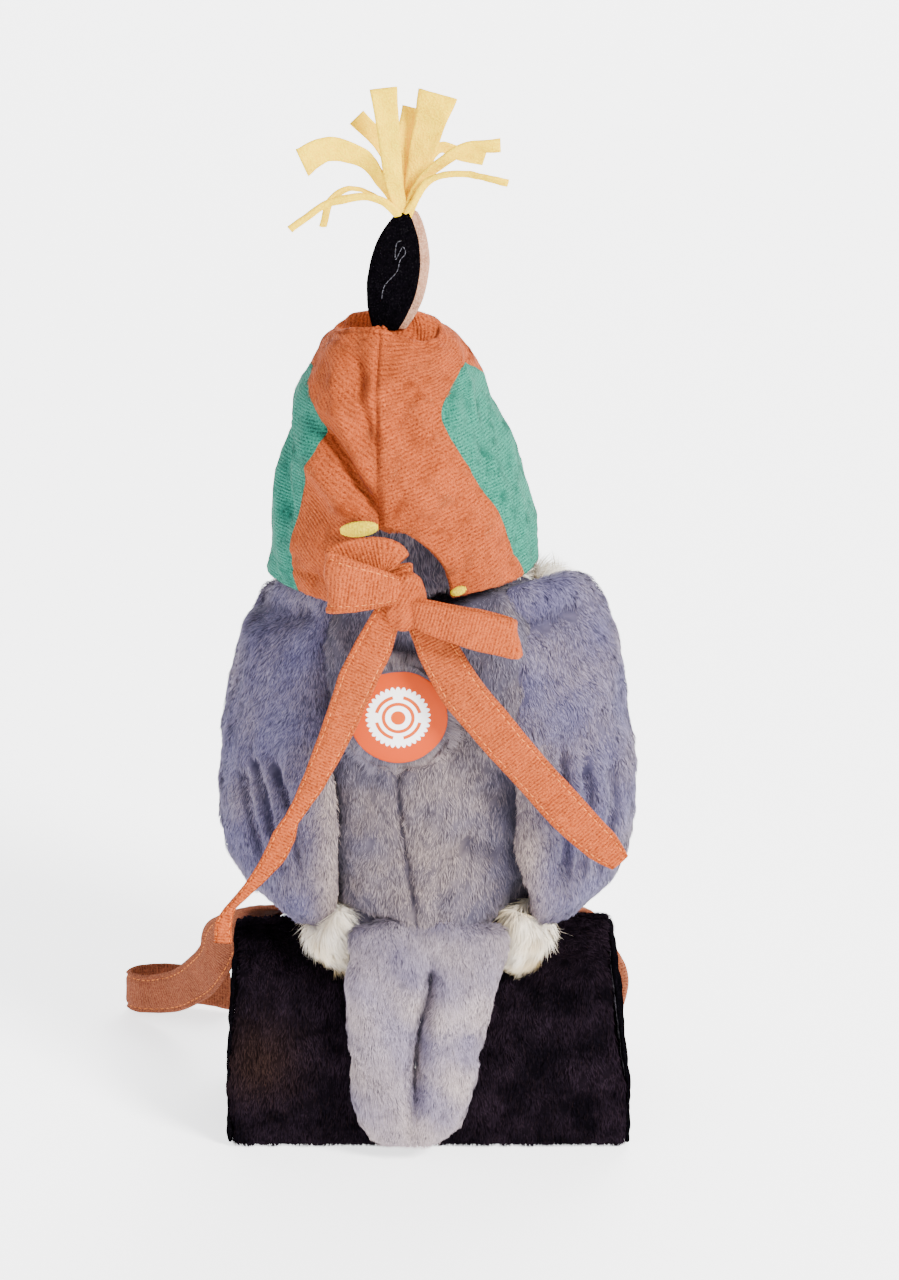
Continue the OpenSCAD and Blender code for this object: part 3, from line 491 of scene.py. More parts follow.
# ---------- pile ----------
def pile(name, skin, body, material, slot, count, length, width, lift, comb, keep=None, tint=None, seed=1,
         deep=None, pitch=0.0):
    """Tufts of plush pile on a skin: thin bent blades that lie along comb, raised by lift from 0 to 1.

    With a pitch the tufts are darker between the skin's ribs, as painted shade; deep gives painted shade in
    creases and seams."""
    r = np.random.default_rng(seed)
    p, n = get_points(skin), get_normals(skin)
    skin.data.calc_loop_triangles()
    tri = np.zeros(len(skin.data.loop_triangles) * 3, np.int32)
    skin.data.loop_triangles.foreach_get("vertices", tri)
    tri = tri.reshape(-1, 3)
    corners = p[tri]
    area = np.linalg.norm(np.cross(corners[:, 1] - corners[:, 0], corners[:, 2] - corners[:, 0]), axis=1)
    if keep is not None:
        area = area * keep(corners.mean(1), unit(n[tri].mean(1)))
    chosen = r.choice(len(tri), count, p=area / area.sum())
    a, b = r.random((2, count, 1))
    over = a + b > 1
    a, b = np.where(over, 1 - a, a), np.where(over, 1 - b, b)
    share = np.concatenate([1 - a - b, a, b], 1)[..., None]
    root = (p[tri[chosen]] * share).sum(1)
    normal = unit((n[tri[chosen]] * share).sum(1))
    lay = comb(root, normal) if callable(comb) else np.broadcast_to(comb, root.shape)
    swirl = np.stack([noise(root, 11, seed + k) for k in range(3)], -1) * 0.16
    swirl += np.stack([noise(root, 1.7, seed + 5 + k) for k in range(3)], -1) * 0.16
    lay = unit(lay) + swirl + r.normal(size=root.shape) * 0.16
    lay = unit(lay - dot(lay, normal) * normal)
    size = length * (0.75 + 0.5 * r.random((count, 1))) * (1 + 0.2 * noise(root, 4, seed + 9)[:, None])
    lift = lift * (1 + 0.35 * noise(root, 3.5, seed + 11)[:, None])
    first = unit(normal * lift + lay * (1 - lift))
    last = unit(normal * lift * 0.45 + lay)
    turn = r.normal(size=(count, 1)) * 0.5
    across = unit(np.cross(normal, lay)) * np.cos(turn) + normal * np.sin(turn)
    half = across * width / 2
    base = root - normal * 0.25
    middle = base + first * size * 0.5
    end = middle + last * size * 0.5
    points = np.stack([base - half, base + half, middle - half * 0.8, middle + half * 0.8, end], 1)
    points[..., 2] = np.maximum(points[..., 2], 0.2)
    at = np.arange(count)[:, None] * 5
    faces = (at + [2, 3, 1, 0]).tolist() + (at + [4, 3, 2]).tolist()
    obj = new_object(name, points.reshape(-1, 3), faces, material)
    set_value(obj, "tip", np.tile([0, 0, 0.6, 0.6, 1.0], count))
    set_value(obj, "tone", np.repeat(r.random(count), 5))
    colour = tint(root) if tint else np.zeros(count)
    set_value(obj, "tint", np.repeat(np.clip(colour + r.normal(size=count) * 0.08, 0, 1), 5))
    # deep, and with a pitch the ribs, set painted shade on the tufts.
    shade = np.clip(deep(root), 0, 1) if deep else np.zeros(count)
    if pitch:
        rib = np.zeros(len(p), np.float32)
        skin.data.attributes["rib"].data.foreach_get("value", rib)
        at_root = (rib[tri[chosen]] * share[..., 0]).sum(1)
        shade = 0.45 - 0.45 * np.sin(2 * math.pi * at_root / pitch)
    set_value(obj, "deep", np.repeat(shade, 5))
    shading = np.repeat(unit(normal + lay * 0.25), 5, axis=0)
    obj.data.normals_split_custom_set_from_vertices(shading.tolist())
    return finish_piece(obj, body, slot)


def root_values(skin, tint=None, deep=None):
    """The skin under a pile has the colour of the pile's roots, dark as painted shade under the fibres, and
    "deep" is painted shade in creases.
    """
    p = get_points(skin)
    set_value(skin, "deep", np.clip(deep(p), 0, 1) if deep else np.zeros(len(p)))
    set_value(skin, "tip", np.full(len(p), 0.25))
    set_value(skin, "tone", 0.5 + 0.4 * noise(p, 1.5, 3))
    set_value(skin, "tint", np.clip(tint(p), 0, 1) if tint else np.zeros(len(p)))


def pull(p, *moves):
    """Moves the points near each centre: every one of moves is a centre, a radius and the move there."""
    for centre, radius, move in moves:
        p = p + np.array(move) * bell(np.linalg.norm(p - np.array(centre), axis=-1), radius)[:, None]
    return p


# ---------- body ----------
BACK_SEAM = [(8.4, 156), (8.8, 124), (8, 113), (6.9, 98), (4.6, 85), (2.3, 72)]
TAIL_SEAM = [(26, 77), (13.8, 75), (2.3, 73.5), (-12, 72.3), (-27, 73.5)]


def back_tint(p):
    """The back is bluer beside the wings and more beige down the middle."""
    middle = bell(p[:, 0] - 1, 20) * np.clip((160 - p[:, 2]) / 20, 0, 1)
    return 0.05 + 0.55 * middle + 0.20 * noise(p, 16, 21) + 0.12 * noise(p, 5, 22)


BACK_DENT = [(-8, 101), (-21, 94)]


# Painted shade: darker in the seams and the dent of the back, and beside the wings where the body meets them,
# fading out between 116 and 130 mm high.
def back_painted_shade(p):
    lines = crease(p, BACK_SEAM, 1.0, 0.9) + crease(p, TAIL_SEAM, 0.7, 1.3) + crease(p, BACK_DENT, 0.6, 3.0)
    sides = bell(p[:, 0] - 29, 4.5) + bell(p[:, 0] + 24, 5)
    return (p[:, 1] > 0) * (lines + 0.95 * sides * np.clip((130 - p[:, 2]) / 14, 0, 1))


def make_body():
    panels = ["back_panel_left", "back_panel_right"]
    skin = skin_around("body_skin", panels + ["belly_panel", "stuffing"], 1.3, 14, GREY)
    set_points(skin, pull(get_points(skin), ((0, 30, 76), 18, (0, 4.5, -3)), ((-25, 20, 158), 14, (-2, 6, 5)),
                          ((28, 18, 158), 14, (2, 6, 5)), ((-24, 24, 136), 12, (0, 3, 0))))
    p, n = get_points(skin), get_normals(skin)
    rear = (p[:, 1] > 0)
    sink = rear * (crease(p, BACK_SEAM, 2.2, 1.4) + crease(p, TAIL_SEAM, 2.0, 1.8))
    sink += rear * crease(p, BACK_DENT, 2.6, 4.5)
    sink += 0.8 * noise(p, 14, 31) + 0.35 * noise(p, 5, 32)
    set_points(skin, p - n * sink[:, None])
    root_values(skin, back_tint, back_painted_shade)
    finish_piece(skin, "torso", "grey_plush", *panels)
    core("body_filling", skin, 3.6, "torso", "stuffing")

    def rear_only(c, n):
        return (c[:, 1] > -8) * (n[:, 1] > -0.35) * (c[:, 2] < 172) * (np.linalg.norm(
            c - np.array([8.4, 30, 138]), axis=1) > 14.2)

    def front_only(c, n):
        return (c[:, 1] < -6) * (c[:, 2] < 170)

    pile("back_pile", skin, "torso", GREY, "grey_plush", 64000, 2.3, 0.22, 0.34, DOWN,
         rear_only, back_tint, 41, back_painted_shade)
    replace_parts(pile("belly_pile", skin, "torso", CREAM, "cream_plush", 42000, 5.0, 0.5, 0.36, DOWN,
                     front_only, lambda q: 0.3 + 0.3 * noise(q, 9, 23), 42), "belly_panel")


def make_wing(side, body):
    """side is 1 for the bird's left wing and -1 for its right."""
    parts = [body + "_" + part for part in ("cover", "wadding", "lining")]
    skin = skin_around(body + "_skin", parts, 1.2, 16, WING)
    p = get_points(skin)
    if side > 0:
        p = pull(p, ((50, -6, 158), 15, (-1, 0, 3)), ((26, 18, 156), 13, (-6, 4, 3)),
                 ((44, 0, 163), 10, (-4, 2, 5)), ((35, 6, 164), 12, (-6, 4, 7)),
                 ((27, 20, 140), 12, (-4, 1, 0)), ((24, 26, 96), 12, (2, 2, 0)))
        lines = [[(55.3, 118), (53, 109), (50.4, 96), (46.5, 84)],
                 [(51.6, 122), (48.8, 114), (45, 100), (41, 86)],
                 [(45.7, 122), (42.6, 115), (39.6, 104), (36.9, 86)]]
        fold = [(54, 158), (42, 161.5), (30, 164)]
    else:
        p = pull(p, ((-42, -6, 159), 14, (0, 0, 7)), ((-28, 16, 154), 15, (13, 5, 5)),
                 ((-26, 24, 130), 14, (7, 3, 0)), ((-31, 6, 166), 12, (8, 4, 7)),
                 ((-26, 28, 80), 10, (-4, 0, 0)))
        lines = [[(-53.3, 119), (-54.6, 106), (-52, 92), (-49, 83)],
                 [(-45.7, 122), (-47, 111), (-46, 94), (-44.6, 83)],
                 [(-38.3, 128), (-40, 114), (-40.3, 99), (-40.8, 84)]]
        fold = [(-20, 160), (-33.4, 160.5), (-47, 163)]
    set_points(skin, p)
    n = get_normals(skin)
    sink = (p[:, 1] > -12) * sum(crease(p, line, 3.2, 1.9) for line in lines)
    sink += (p[:, 1] > -14) * crease(p, fold, 3.0, 3.0)
    sink += 0.7 * noise(p, 19, 51 + side) + 0.2 * noise(p, 7, 53 + side)
    set_points(skin, p - n * sink[:, None])

    def tint(q):
        edge = bell(np.abs(q[:, 0]) - 27, 6) * (q[:, 1] > 14) * (q[:, 2] < 128)
        return 0.85 * edge + 0.12 * noise(q, 13, 24) + 0.10

    # Painted shade in the three quilted grooves and the fold at the shoulder.
    def deep(q):
        return (q[:, 1] > -12) * (sum(crease(q, line, 0.75, 1.1) for line in lines) + crease(q, fold, 0.5, 1.8))

    def comb(q, m):
        return DOWN + np.array([0.25 * side, 0.0, 0.0]) * (q[:, 2:] > 100)

    root_values(skin, tint, deep)
    finish_piece(skin, body, "wing_plush", parts[0], parts[2])
    core(body + "_filling", skin, 2.4, body, parts[1])

    def seen(c, m):
        return 0.25 + 0.75 * (m[:, 1] > -0.3) * (m[:, 0] * side > -0.8)

    pile(body + "_pile", skin, body, WING, "wing_plush", 64000, 2.2, 0.22, 0.34, comb,
         seen, tint, 61 + side, deep)


TAIL_GROOVE = [(-1.0, 66), (-0.5, 56), (2.2, 44), (3.5, 34.6), (4.8, 10)]


def make_tail():
    skin = skin_around("tail_skin", ["tail_cover", "tail_wadding", "tail_lining"], 1.0, 10, TAIL)
    p = get_points(skin)
    low = np.clip((62 - p[:, 2]) / 50, 0, 1)
    wide = np.interp(p[:, 2], (8, 20, 35, 55, 66, 76), (0.94, 0.95, 0.95, 0.99, 0.99, 0.86))
    p[:, 0] = p[:, 0] * wide + 5.6 * low ** 0.7
    p = pull(p, ((0, 38, 72), 24, (0, -4, 7)))
    set_points(skin, p)
    n = get_normals(skin)
    sink = (n[:, 1] > -0.2) * crease(p, TAIL_GROOVE, 6.5, 2.4)
    sink += 0.5 * noise(p, 9, 71)
    set_points(skin, p - n * sink[:, None])

    def tint(q):
        return 0.25 + 0.25 * noise(q, 10, 25) + 0.25 * bell(q[:, 2] - 10, 12)

    # Painted shade in the groove down the tail and growing towards the seam at its top.
    def deep(q):
        return (q[:, 1] > 33) * crease(q, TAIL_GROOVE, 1.0, 1.1) + 0.4 * np.clip((q[:, 2] - 56) / 18, 0, 1)

    root_values(skin, tint, deep)
    finish_piece(skin, "tail", "tail_plush", "tail_cover", "tail_lining")
    core("tail_filling", skin, 2.4, "tail", "tail_wadding")
    pile("tail_pile", skin, "tail", TAIL, "tail_plush", 60000, 2.4, 0.22, 0.34, DOWN,
         lambda c, m: 0.3 + 0.7 * (m[:, 1] > -0.2), tint, 72, deep)


def slant(p):
    """The cuff's ends lean inwards towards the top, the bird's right one more."""
    high = np.clip((p[:, 2:] - 22) / 38, 0, 1)
    share = np.clip(np.abs(p[:, :1]) / 58, 0, 1) ** 3
    return p + np.where(p[:, :1] < 0, 5.0, -2.0) * high * share * [1, 0, 0]


def make_cuff():
    skin = skin_around("cuff_skin", ["cuff_plush", "cuff_padding"], 1.3, 6, BLACK)
    p, n = slant(get_points(skin)), get_normals(skin)
    rise = (0.8 * noise(p, 18, 81) + 0.3 * noise(p, 6, 82)) * np.clip((p[:, 2] - 2) / 6, 0, 1)
    hole = np.linalg.norm(p[:, 1:] - np.array([0, 30]), axis=1) < 26
    set_points(skin, p + n * (rise * ~hole)[:, None])

    # A brownish patch on the back of the cuff's end: painted sheen on the black pile.
    def tint(q):
        return 0.9 * bell(np.linalg.norm(q[:, [0, 2]] - np.array([50, 30]), axis=1), 11) * (q[:, 1] > 0)

    def outside(c, n):
        return (np.linalg.norm(c[:, 1:] - np.array([0, 30]), axis=1) > 27) * (c[:, 2] > 1.2)

    root_values(skin, tint)
    finish_piece(skin, "torso", "cuff_plush", "cuff_plush")
    core("cuff_filling", skin, 1.6, "torso", "cuff_padding")
    pile("cuff_pile", skin, "torso", BLACK, "cuff_plush", 64000, 2.4, 0.36, 0.3, DOWN, outside, tint, 83)


def soft(name, body, slot, nodes, voxel, rounds, material, lumps=0.0, size=4.0):
    """A CAD solid remade as one smooth, slightly uneven piece."""
    obj = skin_around(name, nodes, voxel, rounds, material)
    if lumps:
        p = get_points(obj)
        set_points(obj, p + get_normals(obj) * (lumps * noise(p, size, len(name)))[:, None])
    return finish_piece(obj, body, slot, *nodes)


# ---------- tapes and stitching ----------
def frames(path, sides):
    """Unit directions along, across and out of a tape that follows path with its width along sides."""
    along = unit(np.gradient(path, axis=0))
    across = unit(sides - dot(sides, along) * along)
    return along, across, np.cross(across, along)


def tape(name, points, sides, width, thickness, material, ripple=0.25, grooves=(0.36,), seed=1):
    """A folded and stitched cloth tape. width is one value or one for each point; grooves are shares of it."""
    path, place = spline(points, 0.7)
    _, across, out = frames(path, unit(between(sides, np.arange(len(sides)), place)))
    wide = np.interp(place, np.arange(len(points)), np.broadcast_to(width, len(points)))
    wide = wide * (1 + 0.025 * noise(path, 9, seed))
    upper = [(s, math.sqrt(max(1 - abs(s) ** 6, 0))) for s in np.linspace(-1, 1, 19)]
    section = upper + [(s, -t) for s, t in upper[-2:0:-1]]
    rings = []
    for s, t in section:
        at = path + across * (wide * s / 2)[:, None]
        wave = ripple * noise(at, 8, seed + 3) + 0.35 * ripple * noise(at, 2.5, seed + 4)
        dent = sum(0.42 * thickness * bell(abs(s) / 2 - g, 0.035) for g in grooves) if t > 0 else 0
        swell = 1 + 0.18 * (abs(s) > 0.8)
        rings.append(at + out * (t * thickness / 2 * swell - dent + wave)[:, None])
    rings = np.stack(rings, 1)
    obj = ring_mesh(name, rings, material)
    gone = travelled(path)
    set_value(obj, "rib", np.append(np.repeat(gone, len(section)), (gone[0], gone[-1])))
    lines = []
    for g in grooves:
        for s in ((-1, 1) if g else (1,)):
            line = path + across * (wide * g * s)[:, None] + out * (0.16 * thickness)
            lines.append((line + out * (ripple * noise(line, 8, seed + 3))[:, None], out))
    return obj, path, lines


def stitches(name, lines, pitch, length, width, material, body, slot):
    """Threads sewn along lines; each line is its points and the outward direction at each of them."""
    points, faces = [], []
    ring = [(math.cos(a), math.sin(a)) for a in np.arange(6) * math.pi / 3]
    for line, out in lines:
        gone = travelled(line)
        for start in np.arange(pitch / 2, gone[-1] - length, pitch):
            at = between(line, gone, [start + length * t for t in (0, 0.15, 0.5, 0.85, 1)])
            up = unit(between(out, gone, start))
            ahead = unit(at[-1] - at[0])
            cross = unit(np.cross(ahead, up))
            first = len(points)
            for q, size, rise in zip(at, (0.35, 0.9, 1, 0.9, 0.35), (-0.8, 0.1, 0.5, 0.1, -0.8)):
                centre = q + up * rise * width * 0.5
                points += [centre + (cross * c + up * s) * width / 2 * size for c, s in ring]
            faces += grid_faces(5, 6, True, first)
            faces += [[first + k for k in range(6)][::-1], [first + 24 + k for k in range(6)]]
    return finish_piece(weld(new_object(name, points, faces, material)), body, slot)


# ---------- hood ----------
def turn(degrees, axis):
    return np.array(Matrix.Rotation(math.radians(degrees), 3, axis))


HEAD_AXES = turn(HEAD_LEAN, "Y") @ turn(HEAD_TURN, "Z")


def on_head(p):
    return p @ HEAD_AXES.T + NECK


def head_local(p):
    return (p - NECK) @ HEAD_AXES


def hood_size():
    """Height above the neck, half width and half depth of the frame's hood, from rays beside its seams."""
    bm = bmesh.new()
    for node in ("hood_front", "hood_side_left", "hood_side_right", "hood_back_left", "hood_back_right"):
        bm.from_mesh(frame["nodes"][node].data)
    tree = BVHTree.FromBMesh(bm)
    bm.free()
    found = []
    for h in np.arange(HEM + 0.5, HOOD_TOP - 0.5, 1.0):
        reach = []
        for angle in (6, 60):
            c, s = math.cos(math.radians(angle)), math.sin(math.radians(angle))
            start = on_head(np.array([80 * c, 80 * s, h]))
            hit = tree.ray_cast(Vector(start * MM), -Vector(HEAD_AXES @ np.array([c, s, 0.0])))[0]
            reach.append(80 - np.linalg.norm(np.array(hit) / MM - start) if hit else -1)
        if min(reach) > 0:
            wide = reach[0]
            deep = reach[1] * s / math.sqrt(max(1 - (reach[1] * c / wide) ** 2, 0.01))
            found.append((h, wide, deep))
    return np.array(found)


HOOD_SIZE = hood_size()
# Height above the neck, then how far a green panel reaches from the side of the head towards the back
LEFT_GREEN = np.array([(8, 43), (25, 43), (36, 48), (48, 57), (59, 56), (65, 42), (69, 24), (71, 14), (82, 10)])
RIGHT_GREEN = np.array([(8, 22), (13, 24), (30, 34), (43, 44), (54, 53), (61, 52), (66, 40), (69, 24),
                        (71, 12), (82, 8)])
# The same towards the front
FRONT_GREEN = np.array([(8, 38), (22, 42), (42, 45), (54, 38), (62, 22), (67, 6), (70, -6), (72, -8),
                        (82, -10)])
SLIT_TOP, SLIT_LEFT, SLIT_RIGHT = 30, 17, 30      # height of the slit at the back, and its half angles
BEAK_GAP = 10                                     # half width of the cut-out for the beak
# Angle, then how high the cloth rises there
CROWN = np.array([(0, 78), (20, 78.5), (53, 80.5), (90, 81.5), (104, 79), (136, 75.5), (165, 75),
                  (205, 78), (270, 80), (360, 78)])
# Folds across the back of the hood: the X and Z they pass through, depth (negative stands proud), width
FOLDS = [
    ([(32, 220.5), (28.5, 217), (24.5, 212.6), (20.5, 206.6), (17, 202), (13.6, 197)], 3.6, 2.2),
    ([(34, 212), (29, 206), (24, 200), (19.5, 195.5)], -2.6, 3.6),
    ([(31, 226), (26, 224.5), (20, 226), (12, 232)], -1.8, 2.6),
    ([(20.5, 240), (19.8, 233), (18.4, 224), (15, 212)], 2.6, 2.6),
    ([(26, 238), (25, 230), (22.5, 220), (17, 208)], -1.3, 2.4),
    ([(38.8, 232), (40.8, 216.8), (41.3, 202), (40.8, 186)], 2.6, 1.7),
    ([(40, 182), (36, 178), (30, 177)], 1.2, 3.0),
    ([(10.5, 226), (5, 217), (-3, 208)], 1.7, 4.2),
    ([(11, 238), (6, 232), (1, 226)], -1.2, 3.5),
    ([(-2, 222), (-8, 214), (-14, 207)], -1.2, 4.0),
    ([(8, 205), (-4, 198), (-16, 193)], -1.2, 4.0),
    ([(-8, 192), (-16, 186), (-24, 183)], 1.3, 3.6),
    ([(-5, 237), (-10, 228), (-16, 217)], 1.3, 2.6),
]


def hood_points(phi, h):
    """Points of the hood's cloth at angles phi (degrees, 90 is the back) and heights h, with its folds."""
    a = np.interp(h, HOOD_SIZE[:, 0], HOOD_SIZE[:, 1])
    b = np.interp(h, HOOD_SIZE[:, 0], HOOD_SIZE[:, 2])
    high = np.clip((h - 68) / 12, 0, 1)
    a = a + 2.5 * high ** 1.5
    top = np.interp(np.mod(phi, 360), CROWN[:, 0], CROWN[:, 1])
    raised = h + np.clip((h - 60) / (HOOD_TOP - 60), 0, 1) * (top - HOOD_TOP)
    c, s = np.cos(np.radians(phi)), np.sin(np.radians(phi))
    p = on_head(np.stack([a * c, b * s, raised], -1))
    out = unit(np.stack([c / a, s / b, 0 * c + 0.006], -1)) @ HEAD_AXES.T
    move = -1.2 * bell(phi - 90, 2.0) * (h > SLIT_TOP - 2)
    for line, depth, width in FOLDS:
        move = move - 1.25 * (s > -0.2) * crease(p, line, depth, width)
    move = move - 4.2 * bell(phi - 176, 34) * bell(h - 51, 16)
    hem = np.clip((HEM + 9 - h) / 9, 0, 1)
    move += 1.4 * hem * np.sin(np.radians(phi * 5 + 40)) + 0.7 * noise(p, 15, 91) + 0.3 * noise(p, 6, 92)
    move -= 0.5 * bell(h - HEM - 6.5, 0.9)
    return p + out * move[..., None]


def hood_panel(name, slot, node, material, heights, low, high, cols, lean):
    """One cloth panel between the angles low and high at each height."""
    share = np.linspace(0, 1, cols)
    phi = low[:, None] * (1 - share) + high[:, None] * share
    h = np.broadcast_to(heights[:, None], phi.shape)
    radius = np.interp(h, HOOD_SIZE[:, 0], HOOD_SIZE[:, 1])
    over = radius * np.radians(phi - 90)
    lean = math.radians(lean)
    rib = -over * math.sin(lean) + h * math.cos(lean)
    obj = sheet_mesh(name, hood_points(phi, h), HOOD_T, material, {"rib": rib})
    nap(obj, slot)
    return finish_piece(obj, "hood", slot, node)


def nap(obj, slot):
    """Short raised fibres on the outer face of a piece of the hood's cloth."""
    material, pitch = (RUST_NAP, 1.15) if slot == "hood_fabric" else (GREEN_NAP, 0.9)

    def outer(c, m):
        away = head_local(c) * [1, 1, 0] @ HEAD_AXES.T
        return ((m * unit(away)).sum(1) > 0.3) * 1.0

    # With the cloth's rib pitch the fibres get painted shade between the ribs.
    pile(obj.name.replace("cloth", "nap"), obj, "hood", material, slot, 56000, 0.85, 0.15, 0.3, DOWN,
         outer, lambda q: 0.12 + 0.2 * noise(q, 6, 171), 172, None, pitch)


def table(rows, h):
    """Values read from rows at heights h, with the rows' corners rounded off."""
    return np.mean([np.interp(h + d, rows[:, 0], rows[:, 1]) for d in np.linspace(-3, 3, 7)], axis=0)


def make_hood():
    h = np.arange(HEM, HOOD_TOP + 0.1, 0.7)
    slit = np.sqrt(np.clip(1 - ((h - HEM) / (SLIT_TOP - HEM)) ** 2, 0, 1)) * (h < SLIT_TOP)
    hood_panel("hood_back_left_cloth", "hood_fabric", "hood_back_left", RUST, h,
               table(LEFT_GREEN, h), 90 - SLIT_LEFT * slit, 72, -40)
    hood_panel("hood_back_right_cloth", "hood_fabric", "hood_back_right", RUST, h,
               90 + SLIT_RIGHT * slit, 180 - table(RIGHT_GREEN, h), 72, 17)
    low = h[h < GREEN_TOP]
    hood_panel("hood_side_left_cloth", "hood_green", "hood_side_left", GREEN, low,
               -table(FRONT_GREEN, low), table(LEFT_GREEN, low), 80, 0)
    hood_panel("hood_side_right_cloth", "hood_green", "hood_side_right", GREEN, low,
               180 - table(RIGHT_GREEN, low), 180 + table(FRONT_GREEN, low), 80, 0)
    left = np.where(h < GREEN_TOP, -table(FRONT_GREEN, h), table(LEFT_GREEN, h))
    right = np.where(h < GREEN_TOP, 180 + table(FRONT_GREEN, h), 180 - table(RIGHT_GREEN, h))
    reach = np.where(h < BEAK_TOP, BEAK_GAP, np.sqrt(np.clip(BEAK_GAP ** 2 - (h - BEAK_TOP) ** 2, 0, None)))
    gap = np.degrees(np.arcsin(reach / np.interp(h, HOOD_SIZE[:, 0], HOOD_SIZE[:, 2])))
    hood_panel("hood_front_right_cloth", "hood_fabric", "hood_front", RUST, h, right, 270 - gap, 70, 10)
    hood_panel("hood_front_left_cloth", "hood_fabric", "hood_front", RUST, h, 270 + gap, 360 + left, 70, 10)
    crown()
    lines = []
    for rise, start, end in ((6.5, 50, 72), (6.5, 121, 154)):
        phi = np.linspace(start, end, 400)
        at = hood_points(phi, np.full(400, HEM + rise))
        lines.append((at, unit(at - on_head(np.array([0, 0, HEM + rise])))))
    stitches("hem_stitches", lines, 2.4, 1.8, 0.3, RUST, "hood", "hood_fabric")


def crown():
    """The gathered top: a ridge of the front panel behind the rim, with a pocket on each side of the tab."""
    share = np.linspace(0, 1, 26)[:, None]
    phi = np.linspace(0, 360, 121)[None, :-1] + 0 * share
    rim = head_local(hood_points(phi[:1], np.full((1, 120), HOOD_TOP - 0.6)))
    p = rim * (1 - share)[..., None] + np.array([0.5, -1.0, HOOD_TOP - 1.0]) * share[..., None]
    x, y = p[..., 0], p[..., 1]
    inner = np.clip(share * 4, 0, 1)
    p[..., 2] -= inner * 4.6 * bell(y - 3.6, 3.6) * (0.45 + 0.55 * np.abs(np.tanh((x - 1) / 3)))
    p[..., 2] += inner * 1.6 * bell(y + 5, 4.0)
    p[..., 2] -= inner * 1.4 * bell(x - 0.8, 1.6)
    world = on_head(p)
    world = world + 0.35 * noise(world, 4, 95)[..., None]
    obj = new_object("hood_crown_gather", world.reshape(-1, 3), grid_faces(26, 120, around=True), RUST)
    set_value(obj, "rib", np.hypot(p[..., 0], p[..., 1]).ravel())
    thick = obj.modifiers.new("cloth", "SOLIDIFY")
    thick.thickness = 1.5 * MM
    evaluated(weld(obj))
    finish_piece(obj, "hood", "hood_fabric")


def make_tab_and_plume():
    """Two felt leaves that lean over, the thread loose on the black one, and the plume's felt strips."""
    def leaf(name, slot, node, material, y, thickness, grow, shift):
        up = np.linspace(0, 1, 60)[:, None]
        over = np.linspace(-1, 1, 30)[None, :]
        width = (6.9 + grow) * np.clip(np.sin(math.pi * np.clip(up * 0.9 + 0.085, 0, 1)), 0.02, 1) ** 0.62
        x = width * over + shift
        z = up * (34 + grow)
        bulge = 1.1 * (1 - over ** 2) * np.sin(math.pi * up)
        lean = math.radians(-9)
        grid = np.stack([11.6 + x * math.cos(lean) + z * math.sin(lean), y + bulge + 0 * x,
                         243 + z * math.cos(lean) - x * math.sin(lean)], -1)
        grid[..., 1] += 0.25 * noise(grid, 5, 97)
        return finish_piece(sheet_mesh(name, grid[:, ::-1], thickness, material), "hood", slot, node), grid

    leaf("tab_tan_felt", "tab_tan", "crest_tab_front", FELT_T, -4.6, 1.5, 0.3, -1.9)
    _, grid = leaf("tab_black_felt", "tab_black", "crest_tab_back", FELT_K, -2.2, TAB_T, 0.0, 0.5)
    squiggle = spline([grid[r, c] + [0, 0.25, 0] for r, c in
                       ((14, 20), (22, 19), (30, 13), (36, 12), (40, 9), (43, 11), (40, 13), (36, 15), (44, 16),
                        (46, 12))], 0.3)[0]
    out = np.broadcast_to([0.0, 1.0, 0.0], squiggle.shape)
    stitches("tab_thread", [(squiggle, out)], 1.5, 1.35, 0.24, GREY_THREAD, "hood", "tab_black")
    root = (6.6, 0.6, 273)
    seat = np.array([0, -4.2, 1.5])
    strips = [   # points after the root, width at the root, width at the tip, direction across
        ([(9.2, 2.6, 284), (10.6, 3, 297), (12.2, 1.6, 311)], 3.6, 7.8, (1, 0.1, 0.05)),
        ([(3.4, -2.6, 283), (0.4, -3.4, 296), (-3.0, -2.4, 308.5)], 3.4, 11, (1, -0.1, 0.3)),
        ([(12, 0.5, 283), (18, 0, 290.5), (27.5, 1, 293.5), (35, 3, 290)], 3.2, 9.6, (0.12, 0.3, 1)),
        ([(12.5, 3.6, 279), (20, 4.6, 280.5), (29, 5, 278.5), (38.5, 6, 271.5)], 2.6, 2.6, (0.1, 0.6, 1)),
        ([(13, -3, 278), (21, -5, 281), (27, -5.5, 277.5), (29.5, -5.2, 269.5)], 2.4, 3.0, (0.3, 0.9, 0.5)),
        ([(2, 1.5, 284), (-4, 2.5, 290), (-12, 3, 294.5), (-20.5, 3, 295)], 2.8, 4.8, (0.1, 0.5, 1)),
        ([(1.5, 4, 283), (-4, 5.5, 286.8), (-12, 6, 287.4), (-22.6, 6, 285)], 2.6, 2.8, (0, 0.7, 0.8)),
        ([(2.8, -4, 284), (-3, -6, 292), (-9, -7, 290), (-16, -8, 288.5)], 2.6, 5.0, (0.1, 0.4, 1)),
        ([(5, -5, 286), (5.6, -7, 296), (4, -9, 303)], 3.0, 6.5, (1, 0.3, 0)),
        ([(9, -5, 285), (13, -8, 293), (20, -10, 300)], 3.0, 5.5, (0.7, 0.3, -0.6)),
    ]
    for k, (points, start, end, side) in enumerate(strips):
        points = np.array([root, *points]) + seat
        width = np.linspace(start, end, len(points))
        obj, _, _ = tape("plume_strip_%d" % (k + 1), points, [side] * len(points), width, 1.15, FELT_Y,
                         0.3, (), 101 + k)
        finish_piece(obj, "hood", "plume_felt", *([] if k else ["crest_plume"]))


